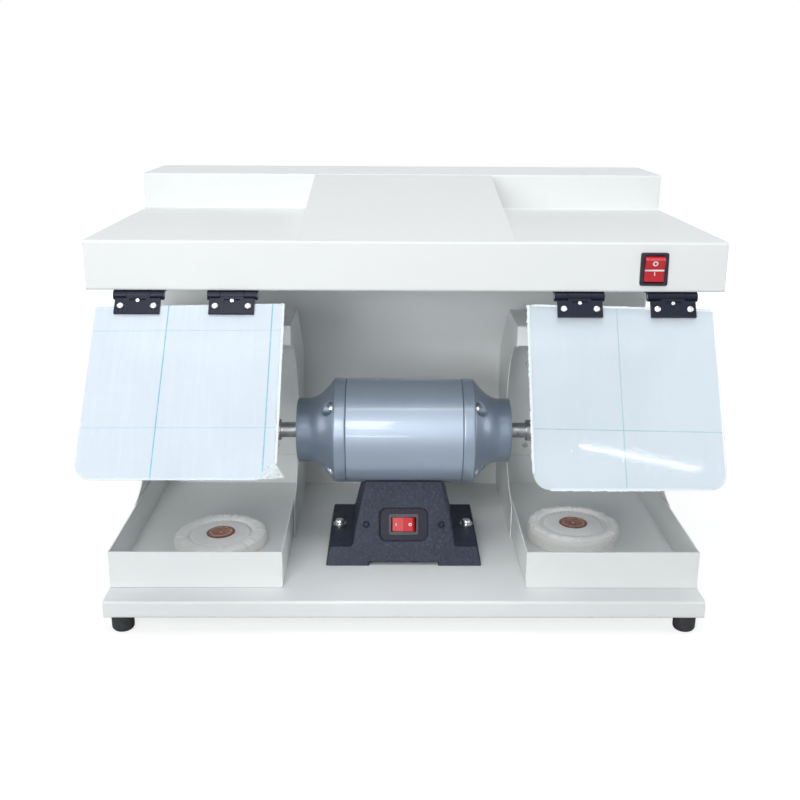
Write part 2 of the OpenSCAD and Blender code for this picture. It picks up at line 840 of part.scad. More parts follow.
module hinge_top_leaves() {
    color("#1C1D22") at_hinges() translate([0, y_hinge, 0]) difference() {
        union() {
            for (x = [-hinge_w / 2, hinge_w / 2 - knuckle_end]) {
                translate([0, 0, z_hinge]) cyl_x(x, x + knuckle_end, knuckle_r);
                block([x, 0, z_hinge], [x + knuckle_end, knuckle_r, z_hood]);
                block([x, 0, z_hood - leaf_t], [x + knuckle_end, top_leaf_len, z_hood]);
            }
            block([-hinge_w / 2, knuckle_r + leaf_gap, z_hood - leaf_t],
                [hinge_w / 2, top_leaf_len, z_hood]);
        }
        translate([0, 0, z_hinge]) cyl_x(-hinge_w / 2 - eps, hinge_w / 2 + eps,
            hinge_pin_d / 2 + fit);
        for (s = [-1, 1])
            translate([s * leaf_screw_span / 2, top_screw_back, z_hood - leaf_t - eps])
                cylinder(h = leaf_t + 2 * eps, r = hole_r);
    }
}

module hinge_pins() {
    color("silver") at_hinges() translate([0, y_hinge, z_hinge])
        cyl_x(-hinge_w / 2, hinge_w / 2, hinge_pin_d / 2);
}

module hinge_top_screws() {
    color("silver") at_top_leaf_screws() translate([0, 0, -leaf_t]) mirror([0, 0, 1])
        pan_screw(leaf_t + sheet + 3);
}

// Moving leaf of one hinge: middle knuckle, screw plate and adjuster slot
module moving_leaf() {
    difference() {
        union() {
            cyl_x(-knuckle_mid / 2, knuckle_mid / 2, knuckle_r);
            block([-knuckle_mid / 2, -leaf_t, -knuckle_r - leaf_gap],
                [knuckle_mid / 2, 0, -hinge_pin_d / 2 - 0.8]);
            block([-leaf_w / 2, -leaf_t, -leaf_len], [leaf_w / 2, 0, -knuckle_r - leaf_gap]);
        }
        cyl_x(-knuckle_mid / 2 - eps, knuckle_mid / 2 + eps, hinge_pin_d / 2 + run_gap);
        translate([0, 0, -adjuster_u]) block([-slot_w / 2, -leaf_t - eps, -slot_h / 2],
            [slot_w / 2, -leaf_t + slot_in, slot_h / 2]);
        for (s = [-1, 1]) translate([s * leaf_screw_span / 2, 0, -leaf_screw_u])
            cyl_y(-leaf_t - eps, eps, shield_screw_r + fit);
    }
}

module at_shield_hinges() {
    for (h = [-1, 1]) translate([bay_mid + h * hinge_span / 2, 0, 0]) children();
}

module hinge_leaves(tilt) {
    color("#1C1D22") swung(tilt) at_shield_hinges() moving_leaf();
}

// Clear sheet with a cut top edge that falls outwards and round lower corners
module shield(tilt) {
    x0 = shield_x - shield_w / 2;
    x1 = shield_x + shield_w / 2;
    z0 = -shield_top - shield_h;
    color("#BFD8F0") swung(tilt) difference() {
        slab_y(0, shield_t) polygon(concat([[x0, -shield_top]],
            arc_points([x0 + shield_r, z0 + shield_r], shield_r, 180, 270, 8),
            arc_points([x1 - shield_r, z0 + shield_r], shield_r, 270, 360, 8),
            [[x1, -shield_top - shield_fall]]));
        at_shield_hinges() for (s = [-1, 1])
            translate([s * leaf_screw_span / 2, 0, -leaf_screw_u])
                cyl_y(-eps, shield_t + eps, shield_screw_r + fit);
    }
}

// Screws through leaf and sheet with their nuts, and the friction adjusters
module shield_screws(tilt) {
    small_nut_h = 2.2;
    color("silver") swung(tilt) at_shield_hinges() {
        for (s = [-1, 1]) translate([s * leaf_screw_span / 2, 0, -leaf_screw_u]) {
            translate([0, -leaf_t, 0]) rotate([90, 0, 0])
                pan_screw(leaf_t + shield_t + small_nut_h, shield_screw_r, shield_head_r, 1.6);
            translate([0, shield_t, 0]) rotate([-90, 0, 0]) hex_nut(5.5, small_nut_h, shield_screw_r);
        }
        translate([0, -leaf_t + slot_in, -adjuster_u]) rotate([90, 0, 0])
            cylinder(h = adjuster_h, r = adjuster_r);
    }
}

module left_shield() { on_side(-1) shield(left_tilt); }
module right_shield() { on_side(1) shield(right_tilt); }
module left_hinge_leaves() { on_side(-1) hinge_leaves(left_tilt); }
module right_hinge_leaves() { on_side(1) hinge_leaves(right_tilt); }
module left_shield_screws() { on_side(-1) shield_screws(left_tilt); }
module right_shield_screws() { on_side(1) shield_screws(right_tilt); }

// ---- rocker switches -----------------------------------------------------

bezel_t = 2;
bezel_rim = 2.8;
rocker_in = 4.5;
rocker_gap = 0.35;
pivot_r = 1.5;
pivot_out = 1.1;
switch_deep = 21;
switch_lip = 2;
hood_body_w = hood_bezel_w - 2 * switch_lip;
hood_body_h = hood_bezel_h - 2 * switch_lip;
motor_body_w = motor_bezel_w - 2 * switch_lip;
motor_body_h = motor_bezel_h - 2 * switch_lip;

// Switch body: the panel's front is y = 0 and the rocker tips about x
module switch_body(w, h) {
    r = h / 2 - bezel_rim;
    rw = w / 2 - bezel_rim - 1;
    difference() {
        union() {
            slab_y(-bezel_t, 0) round_rect(w, h, 2);
            block([-w / 2 + switch_lip, -eps, -h / 2 + switch_lip],
                [w / 2 - switch_lip, switch_deep, h / 2 - switch_lip]);
        }
        block([-rw - rocker_gap, -bezel_t - eps, -r - rocker_gap],
            [rw + rocker_gap, rocker_in + r, r + rocker_gap]);
        translate([0, rocker_in - bezel_t, 0])
            cyl_x(-rw - pivot_out - 0.1, rw + pivot_out + 0.1, pivot_r + run_gap);
    }
    for (x = [-rw * half, rw * half])
        block([x - 0.4, switch_deep - eps, -3], [x + 0.4, switch_deep + 7, 3]);
}

// Rocker with a valley front, tipped by half its throw
module rocker(w, h, lean) {
    r = h / 2 - bezel_rim;
    rw = w / 2 - bezel_rim - 1;
    peak = r * tan(rocker_throw / 2);
    crown = rocker_in + 0.8;
    translate([0, rocker_in - bezel_t, 0]) rotate([lean * rocker_throw / 2, 0, 0]) {
        rotate([0, 0, 180]) slab_x(-rw, rw) intersection() {
            circle(r);
            polygon([[-3, -r], [crown + peak, -r], [crown, 0], [crown + peak, r], [-3, r]]);
        }
        cyl_x(-rw - pivot_out, rw + pivot_out, pivot_r);
    }
}

module at_hood_switch() {
    translate([hood_switch_x, y_fascia, hood_switch_z]) children();
}

module hood_switch_body() {
    color("#161618") at_hood_switch() switch_body(hood_bezel_w, hood_bezel_h);
}

module hood_rocker() {
    color("#D8201C") at_hood_switch() rocker(hood_bezel_w, hood_bezel_h, 1);
}

// ---- pedestal ------------------------------------------------------------

motor_r = motor_d / 2;
ear_draft = 3.5;
face_lean = atan((ped_d - crown_d) / 2 / crown_h);
switch_h = 40;
relief_w = 72;
relief_h = 4;
ear_wall = cast_t;
cavity_h = shaft_h - motor_r - cast_t;

// (x, z) outline of the casting, drawn in by wall t, up to height top
module ped_front_outline(t, top) {
    body_x = function(z) body_w / 2 - (body_w - crown_w) / 2 * (z - ear_h) / (crown_h - ear_h);
    right = [[ped_w / 2 - t, 0], [ped_w / 2 - ear_draft - t, ear_h - t],
        [body_x(ear_h - t) - t, ear_h - t], [body_x(top) - t, top]];
    polygon(concat(right, [for (p = reversed(right)) [-p[0], p[1]]]));
}

// (y, z) outline of the casting, drawn in by wall t, up to height top
module ped_side_outline(t, top) {
    w = t / cos(face_lean);
    y0 = ped_d / 2 - w;
    y1 = ped_d / 2 - w - top * tan(face_lean);
    polygon([[-y0, 0], [-y1, top], [y1, top], [y0, 0]]);
}

module ped_form(t, top) {
    intersection() {
        slab_y(-ped_d, ped_d) ped_front_outline(t, top);
        slab_x(-ped_w, ped_w) ped_side_outline(t, top);
    }
}

// Frame of the leaning front face at the switch: outward is -y
module on_ped_face() {
    translate([0, y_axis - ped_d / 2 + switch_h * tan(face_lean), z_deck + switch_h])
        rotate([-face_lean, 0, 0]) children();
}

module motor_pedestal() {
    color("#3B4048") difference() {
        translate([0, y_axis, z_deck]) difference() {
            ped_form(0, crown_h);
            translate([0, 0, -eps]) ped_form(ear_wall, cavity_h);
            block([-relief_w / 2, -ped_d, -eps], [relief_w / 2, ped_d, relief_h]);
        }
        translate([0, y_axis, z_axis]) cyl_x(-ped_w, ped_w, motor_r + 0.2);
        at_ped_bolts() translate([0, 0, z_deck]) cylinder(h = ear_h + 1, r = ped_bolt_r + fit);
        on_ped_face() {
            slab_y(-eps, 2 * cast_t) round_rect(recess_w, recess_h, 7);
            for (s = [-1, 1]) translate([s * plate_span / 2, 0, 0])
                cyl_y(-eps, 2 * cast_t, hole_r);
        }
    }
}

ped_washer_r = 7;
ped_washer_t = 1.4;

module pedestal_bolts() {
    bolt_nut_h = 5;
    color("silver") at_ped_bolts() {
        translate([0, 0, z_deck + ear_h]) {
            difference() {
                cylinder(h = ped_washer_t, r = ped_washer_r);
                translate([0, 0, -eps]) cylinder(h = ped_washer_t + 2 * eps, r = ped_bolt_r + fit);
            }
            translate([0, 0, ped_washer_t])
                pan_screw(ped_washer_t + ear_h + sheet + bolt_nut_h + 2, ped_bolt_r, 5.2, 4);
        }
        translate([0, 0, z_deck - sheet - bolt_nut_h]) hex_nut(10, bolt_nut_h, ped_bolt_r);
    }
}

plate_t = 1.5;
plate_gap = 0.1;

// Steel plate behind the casting's window that carries the motor's switch
module switch_plate() {
    color("#2B2C30") on_ped_face() difference() {
        slab_y(cast_t + plate_gap, cast_t + plate_t) {
            square([recess_w + 8, recess_h + 6], center = true);
            square([plate_span + 6, 12], center = true);
        }
        block([-motor_body_w / 2 - 0.1, 0, -motor_body_h / 2 - 0.1],
            [motor_body_w / 2 + 0.1, cast_t + plate_t + eps, motor_body_h / 2 + 0.1]);
        for (s = [-1, 1]) translate([s * plate_span / 2, 0, 0])
            cyl_y(cast_t, cast_t + plate_t + eps, hole_r);
    }
}

module switch_plate_screws() {
    color("#3A3A3D") on_ped_face() for (s = [-1, 1]) translate([s * plate_span / 2, 0, 0])
        rotate([90, 0, 0]) pan_screw(cast_t + plate_t + 2.5);
}

module at_motor_switch() {
    on_ped_face() translate([0, cast_t, 0]) rotate([0, 90, 0]) children();
}

module motor_switch_body() {
    color("#161618") at_motor_switch() switch_body(motor_bezel_h, motor_bezel_w);
}

module motor_rocker() {
    color("#D8201C") at_motor_switch() rocker(motor_bezel_h, motor_bezel_w, 1);
}

capacitor_r = 15;
capacitor_l = 52;

// Run capacitor lying on the base pan inside the casting
module capacitor() {
    color("#C9C9C4") translate([0, y_axis + 26, z_deck + capacitor_r]) {
        cyl_x(-capacitor_l / 2, capacitor_l / 2, capacitor_r);
        cyl_x(capacitor_l / 2, capacitor_l / 2 + 2, capacitor_r - 3);
        for (y = [-4, 4]) block([capacitor_l / 2 + 2 - eps, y - 3, -0.4],
            [capacitor_l / 2 + 10, y + 3, 0.4]);
    }
}

// ---- motor ---------------------------------------------------------------

x_seam = barrel_l / 2;
x_band = x_seam + band_l;
x_neck = x_band + flare_l;
x_face = x_neck + neck_l;
neck_r = neck_d / 2;
face_t = 4;
x_bearing1 = x_face - face_t;
x_bearing0 = x_bearing1 - bearing_w;
spigot_l = 6;
spigot_r = motor_r - barrel_t;
pocket_in = 1;
pocket_r = tie_head_d / 2 + 2.6;
flare_early = 0.6;
tie_grip = x_band + pocket_in;
shaft_r = shaft_d / 2;

module at_axis() {
    translate([0, y_axis, z_axis]) children();
}

// An (r, x) outline turned about the motor's axis
module turned() {
    rotate([0, 90, 0]) rotate_extrude($fn = 96) children();
}

module at_ties() {
    for (a = [45:90:315]) rotate([a, 0, 0]) translate([0, tie_r, 0]) children();
}

module motor_barrel() {
    color(silver) at_axis() turned()
        translate([motor_r - barrel_t, -x_seam]) square([barrel_t, barrel_l]);
}

// Flare between band and neck: a smooth step that falls early
flare = [for (k = [0:24]) let (t = pow(k / 24, 1.4), u = pow(t, flare_early))
    [motor_r - (motor_r - neck_r) * u * u * (3 - 2 * u), x_band + flare_l * t]];

// Cast end cap on the +X side: spigot, band, flare, neck and bearing seat,
// with four pockets for the tie bolts' heads
module end_cap() {
    cavity_r = tie_r - pocket_r - 2;
    color(silver) at_axis() difference() {
        turned() polygon(concat([[cavity_r, x_seam - spigot_l],
            [spigot_r - fit, x_seam - spigot_l], [spigot_r - fit, x_seam], [motor_r, x_seam]],
            flare,
            [[neck_r, x_face - 1], [neck_r - 1, x_face], [shaft_r + 1.5, x_face],
            [shaft_r + 1.5, x_bearing1], [bearing_d / 2 + fit, x_bearing1],
            [bearing_d / 2 + fit, x_bearing0], [bearing_d / 2 + 4, x_bearing0 - 2],
            [cavity_r, x_band]]));
        at_ties() {
            cyl_x(tie_grip, x_face, pocket_r);
            cyl_x(x_seam - spigot_l - eps, x_face, tie_d / 2 + fit);
        }
    }
}

module left_end_cap() { on_side(-1) end_cap(); }
module right_end_cap() { on_side(1) end_cap(); }

// Four bolts through both end caps, a head at one end and a nut at the other
module tie_bolts() {
    head_l = 3;
    color("silver") at_axis() at_ties() {
        cyl_x(-tie_grip, tie_grip + head_l, tie_d / 2);
        cyl_x(-tie_grip - head_l, -tie_grip, tie_head_d / 2);
        difference() {
            cyl_x(tie_grip, tie_grip + head_l, tie_head_d / 2);
            cyl_x(tie_grip - eps, tie_grip + head_l + eps, tie_d / 2 + fit);
        }
    }
}

stator_slots = 24;
slot_open = 4.4;
air_gap = 0.5;
slot_root_r = 43;

module stator_stack() {
    color("#6E6A64") at_axis() rotate([0, 90, 0]) translate([0, 0, -stack_l / 2])
        linear_extrude(stack_l) difference() {
            circle(spigot_r - 0.1, $fn = 96);
            circle(rotor_d / 2 + air_gap, $fn = 96);
            for (i = [0:stator_slots - 1]) rotate(360 * (i + half) / stator_slots)
                translate([0, -slot_open / 2]) square([slot_root_r, slot_open]);
            for (a = [45:90:315]) rotate(a) translate([tie_r, 0]) circle(tie_d / 2 + 0.3);
        }
}

winding_l = 16;

module stator_windings() {
    inner = rotor_d / 2 + 2;
    color("#A5622B") at_axis() for (x = [-stack_l / 2 - winding_l, stack_l / 2]) turned()
        polygon([[inner, x], [inner, x + winding_l], [slot_root_r - 2, x + winding_l],
            [slot_root_r + 1, x + winding_l * half], [slot_root_r - 2, x]]);
}

// Shielded ball bearing on the +X side
module bearing() {
    groove = 0.8;
    ro = bearing_d / 2;
    ri = shaft_r + run_gap;
    color("silver") at_axis() turned() polygon([[ri, x_bearing0], [ri + 3, x_bearing0],
        [ri + 3, x_bearing0 + groove], [ro - 3, x_bearing0 + groove], [ro - 3, x_bearing0],
        [ro, x_bearing0], [ro, x_bearing1], [ro - 3, x_bearing1], [ro - 3, x_bearing1 - groove],
        [ri + 3, x_bearing1 - groove], [ri + 3, x_bearing1], [ri, x_bearing1]]);
}

module left_bearing() { on_side(-1) bearing(); }
module right_bearing() { on_side(1) bearing(); }

// ---- rotor ---------------------------------------------------------------

x_collar = x_face + collar_out;
x_sleeve = x_collar + collar_t + sleeve_l;
x_shaft = x_sleeve - 4;
x_set = x_collar + collar_t + 6;

module rotor_shaft() {
    color("#77787A") at_axis() turned()
        polygon([[0, -x_shaft], [shaft_r - 1, -x_shaft], [shaft_r, -x_shaft + 1],
            [shaft_r, x_shaft - 1], [shaft_r - 1, x_shaft], [0, x_shaft]]);
}

end_ring_l = 8;

// Laminated core with cast end rings and cooling fins
module rotor_core() {
    color("#8C8A86") at_axis() {
        turned() polygon([[shaft_r + fit, -stack_l / 2 - end_ring_l],
            [rotor_d / 2 - 4, -stack_l / 2 - end_ring_l], [rotor_d / 2 - 4, -stack_l / 2],
            [rotor_d / 2, -stack_l / 2], [rotor_d / 2, stack_l / 2],
            [rotor_d / 2 - 4, stack_l / 2], [rotor_d / 2 - 4, stack_l / 2 + end_ring_l],
            [shaft_r + fit, stack_l / 2 + end_ring_l]]);
        for (a = [0:45:315], x = [-1, 1]) rotate([a, 0, 0])
            translate([x * (stack_l / 2 + end_ring_l + 2), rotor_d / 2 - 10, 0])
                cube([4 + eps, 8, 1.6], center = true);
    }
}

thread_turns = floor(screw_l / screw_pitch);

// Ridges of the tapered thread from its root at the sleeve to its tip
function thread_points() = [for (k = [0:thread_turns - 1])
    let (x = x_sleeve + k * screw_pitch,
        r = (screw_d1 + (screw_d2 - screw_d1) * k / thread_turns) / 2)
    each [[r, x + screw_pitch * 0.2], [r - screw_depth, x + screw_pitch * 0.8]]];

// Tapered screw spindle on the +X end of the shaft
module spindle() {
    color("#9B9DA0") at_axis() difference() {
        turned() polygon(concat([[0, x_collar], [collar_d / 2, x_collar],
            [collar_d / 2, x_collar + collar_t], [sleeve_d / 2, x_collar + collar_t],
            [sleeve_d / 2, x_sleeve - 2], [sleeve_d / 2 - 2, x_sleeve],
            [screw_d1 / 2 - screw_depth, x_sleeve]], thread_points(),
            [[screw_d2 / 4, x_sleeve + screw_l], [0, x_sleeve + screw_l]]));
        cyl_x(x_collar - eps, x_shaft + 0.5, shaft_r + fit);
        translate([x_set, 0, 0]) cyl_y(-sleeve_d, 0, set_r + fit);
    }
}

set_r = 2.4;

module spindle_set_screws() {
    color("#55565A") at_axis() mirrored() translate([x_set, 0, 0]) difference() {
        cyl_y(-sleeve_d / 2 + 0.4, -shaft_r - 0.1, set_r);
        cyl_y(-sleeve_d / 2, -sleeve_d / 2 + 1.4, 1.3, $fn = 6);
    }
}

module left_spindle() { on_side(-1) spindle(); }
module right_spindle() { on_side(1) spindle(); }

// ---- cloth buffs ---------------------------------------------------------

buff_hole_r = 3;
washer_t = 1.2;
left_buff_in = [199, 138];
right_buff_in = [188.5, 153];
left_buff_at = [-left_buff_in[0], y_front + left_buff_in[1]];
right_buff_at = [right_buff_in[0], y_front + right_buff_in[1]];

module buff(at, t) {
    color("#EFE8D6") translate([at[0], at[1], tray_floor]) rotate_extrude($fn = 72)
        polygon([[buff_hole_r, 0], [buff_d / 2 - 2, 0], [buff_d / 2, t * 0.3],
            [buff_d / 2, t * 0.7], [buff_d / 2 - 2, t], [buff_hole_r, t]]);
}

module buff_washer(at, t) {
    color("#8A4B34") translate([at[0], at[1], tray_floor + t]) difference() {
        cylinder(h = washer_t, r = washer_d / 2);
        translate([0, 0, -eps]) cylinder(h = washer_t + 2 * eps, r = buff_hole_r);
    }
}

module left_buff() { buff(left_buff_at, left_buff_t); }
module right_buff() { buff(right_buff_at, right_buff_t); }
module left_buff_washer() { buff_washer(left_buff_at, left_buff_t); }
module right_buff_washer() { buff_washer(right_buff_at, right_buff_t); }

base_pan();
rubber_feet();
foot_screws();
rear_column();
rear_cover();
rear_cover_screws();
hood_shell();
ramp_cover();
left_bay_hood();
right_bay_hood();
column_screws();
hood_screws();
bay_screws();
hinge_top_leaves();
hinge_pins();
hinge_top_screws();
hood_switch_body();
hood_rocker();
power_inlet();
lamp_batten();
lamp_tube();
fan_frames();
fan_screws();
left_impeller();
right_impeller();
filter_pads();
motor_pedestal();
pedestal_bolts();
switch_plate();
switch_plate_screws();
motor_switch_body();
motor_rocker();
capacitor();
motor_barrel();
stator_stack();
stator_windings();
left_end_cap();
right_end_cap();
tie_bolts();
left_bearing();
right_bearing();
rotor_shaft();
rotor_core();
left_spindle();
right_spindle();
spindle_set_screws();
left_shield();
left_hinge_leaves();
left_shield_screws();
right_shield();
right_hinge_leaves();
right_shield_screws();
left_tray();
left_buff();
left_buff_washer();
right_tray();
right_buff();
right_buff_washer();
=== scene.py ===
"""Finish, light and camera for the twin-spindle dental polishing lathe."""
import json
import math

import bpy
from mathutils import Matrix, Vector, noise


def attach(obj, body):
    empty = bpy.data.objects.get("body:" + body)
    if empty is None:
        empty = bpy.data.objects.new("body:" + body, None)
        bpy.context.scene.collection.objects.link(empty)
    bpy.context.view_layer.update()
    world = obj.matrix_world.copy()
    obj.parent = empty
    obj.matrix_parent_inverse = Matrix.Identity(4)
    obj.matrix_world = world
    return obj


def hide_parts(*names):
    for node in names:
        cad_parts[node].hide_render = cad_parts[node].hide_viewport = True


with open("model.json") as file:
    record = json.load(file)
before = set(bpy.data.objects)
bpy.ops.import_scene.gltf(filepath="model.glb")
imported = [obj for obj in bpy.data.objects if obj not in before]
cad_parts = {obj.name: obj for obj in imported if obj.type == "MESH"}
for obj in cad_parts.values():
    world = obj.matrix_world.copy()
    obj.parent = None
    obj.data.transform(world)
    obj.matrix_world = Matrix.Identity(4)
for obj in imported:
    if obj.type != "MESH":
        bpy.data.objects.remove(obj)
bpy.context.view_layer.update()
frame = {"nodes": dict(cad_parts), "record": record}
nodes = frame["nodes"]
scene = bpy.context.scene
scene.view_settings.view_transform = "Standard"
mm = 0.001  # sizes are written in millimetres where they come from the CAD


# ---- camera and light ----------------------------------------------------

def facing(yaw, pitch, roll):
    """Camera axes from yaw to the right, pitch down and roll, in degrees."""
    yaw, pitch, roll = (math.radians(a) for a in (yaw, pitch, roll))
    ahead = Vector((math.sin(yaw) * math.cos(pitch), math.cos(yaw) * math.cos(pitch),
                    -math.sin(pitch)))
    right = Vector((math.cos(yaw), -math.sin(yaw), 0))
    up = right.cross(ahead)
    side = right * math.cos(roll) + up * math.sin(roll)
    top = up * math.cos(roll) - right * math.sin(roll)
    return Matrix((side, top, -ahead)).transposed().to_4x4()


# Solved from straight edges in the photograph
CAMERA_AT = (-0.01694, -1.1367, 0.51811)
CAMERA_YAW, CAMERA_PITCH, CAMERA_ROLL = 0.67, 16.38, 0.35
CAMERA_LENS, SENSOR_WIDTH = 48.27, 36

camera = bpy.data.objects.new("camera", bpy.data.cameras.new("camera"))
scene.collection.objects.link(camera)
camera.data.lens = CAMERA_LENS
camera.data.sensor_width = SENSOR_WIDTH
camera.data.clip_start = 0.05
camera.matrix_world = (Matrix.Translation(CAMERA_AT)
                       @ facing(CAMERA_YAW, CAMERA_PITCH, CAMERA_ROLL))
scene.camera = camera


def area_light(name, at, target, size, power, colour=(1, 1, 1)):
    """A rectangular lamp at a place, turned to its target."""
    lamp = bpy.data.lights.new(name, "AREA")
    lamp.shape = "RECTANGLE"
    lamp.size, lamp.size_y = size
    lamp.energy = power
    lamp.color = colour
    obj = bpy.data.objects.new(name, lamp)
    scene.collection.objects.link(obj)
    obj.location = at
    obj.rotation_euler = (Vector(target) - Vector(at)).to_track_quat("-Z", "Y").to_euler()
    return obj


COOL = (0.98, 0.99, 1)
MOTOR_AXIS = (0, -0.042, 0.163)
STRIP = (0.19, 0.04)
area_light("key", (-0.4, -1.95, 1.3), (0, 0, 0.12), (0.8, 0.5), 12.5)
area_light("fill", (-0.9, -3.0, 0.74), (0.1, 0, 0.2), (1.0, 0.7), 29.5, (0.96, 0.98, 1))
area_light("top", (0.0, -0.6, 2.2), (0, -0.05, 0.2), (1.4, 1.1), 20, COOL)
for side in (-1, 1):
    area_light("rear", (1.8 * side, 1.7, 0.6), (0, 0, 0.2), (1.0, 0.8), 15, COOL)
    area_light("side", (2.4 * side, -0.1, 0.5), (0, 0.1, 0.2), (1.0, 0.8), 8, COOL)
# Two narrow lamps for the streaks on the barrel
area_light("strip_high", (-0.10, -2.04, 0.93), MOTOR_AXIS, STRIP, 0.7)
area_light("strip_low", (-0.06, -2.04, 0.31), MOTOR_AXIS, STRIP, 0.7)


def put(tree, kind, sockets=(), **settings):
    """A new node with its settings and its inputs, which are values or outputs."""
    n = tree.nodes.new("ShaderNode" + kind)
    for key, value in settings.items():
        setattr(n, key, value)
    for key, value in dict(sockets).items():
        if isinstance(value, bpy.types.NodeSocket):
            tree.links.new(value, n.inputs[key])
        else:
            n.inputs[key].default_value = value
    return n


def calc(tree, operation, a, b=0.0, clamp=False):
    """The output of a Math node."""
    return put(tree, "Math", {0: a, 1: b}, operation=operation, use_clamp=clamp).outputs[0]


# A pale ambient light on the object; white to the camera, to gloss and to clear sheets
AMBIENT, AMBIENT_STRENGTH = (0.90, 0.96, 1, 1), 0.24

world = bpy.data.worlds.new("studio")
scene.world = world
world.use_nodes = True
wt = world.node_tree
wt.nodes.clear()
path = put(wt, "LightPath")
through = calc(wt, "MAXIMUM", path.outputs["Is Glossy Ray"],
               path.outputs["Is Transmission Ray"])
seen = calc(wt, "MAXIMUM", path.outputs["Is Camera Ray"], through)
ambient = put(wt, "Background", {"Color": AMBIENT, "Strength": AMBIENT_STRENGTH})
white = put(wt, "Background", {"Color": (1, 1, 1, 1), "Strength": 1.0})
both = put(wt, "MixShader", {0: seen, 1: ambient.outputs[0], 2: white.outputs[0]})
put(wt, "OutputWorld", {0: both.outputs[0]})

# Paper floor: the camera sees part of it glow, more so far off, and the object's shadow on it
FLOOR_HALF = 4
FLOOR_TONE, FLOOR_TONE_SEEN = 0.56, 0.9
GLOW_SHARE = 0.6
GLOW_NEAR, GLOW_FAR = (0.5, 1.25), (1.7, 1.66)

floor = bpy.data.objects.new("floor", bpy.data.meshes.new("floor"))
corners = [(x * FLOOR_HALF, y * FLOOR_HALF, 0) for x, y in ((-1, -1), (1, -1), (1, 1), (-1, 1))]
floor.data.from_pydata(corners, [], [(0, 1, 2, 3)])
scene.collection.objects.link(floor)
paper = bpy.data.materials.new("paper")
paper.use_nodes = True
ft = paper.node_tree
ft.nodes.clear()
camera_ray = put(ft, "LightPath").outputs["Is Camera Ray"]
tone = put(ft, "MapRange", {"Value": camera_ray, "To Min": FLOOR_TONE,
                            "To Max": FLOOR_TONE_SEEN}).outputs[0]
matt = put(ft, "BsdfDiffuse", {"Color": tone})
far = put(ft, "VectorMath", {0: put(ft, "TexCoord").outputs["Object"]},
          operation="LENGTH").outputs["Value"]
level = put(ft, "MapRange", {"Value": far, "From Min": GLOW_NEAR[0], "From Max": GLOW_FAR[0],
                             "To Min": GLOW_NEAR[1], "To Max": GLOW_FAR[1]}).outputs[0]
glow = put(ft, "Emission", {"Color": (1, 1, 1, 1), "Strength": level})
share = calc(ft, "MULTIPLY", camera_ray, GLOW_SHARE)
surface = put(ft, "MixShader", {0: share, 1: matt.outputs[0], 2: glow.outputs[0]})
put(ft, "OutputMaterial", {0: surface.outputs[0]})
floor.data.materials.append(paper)


# ---- materials -----------------------------------------------------------

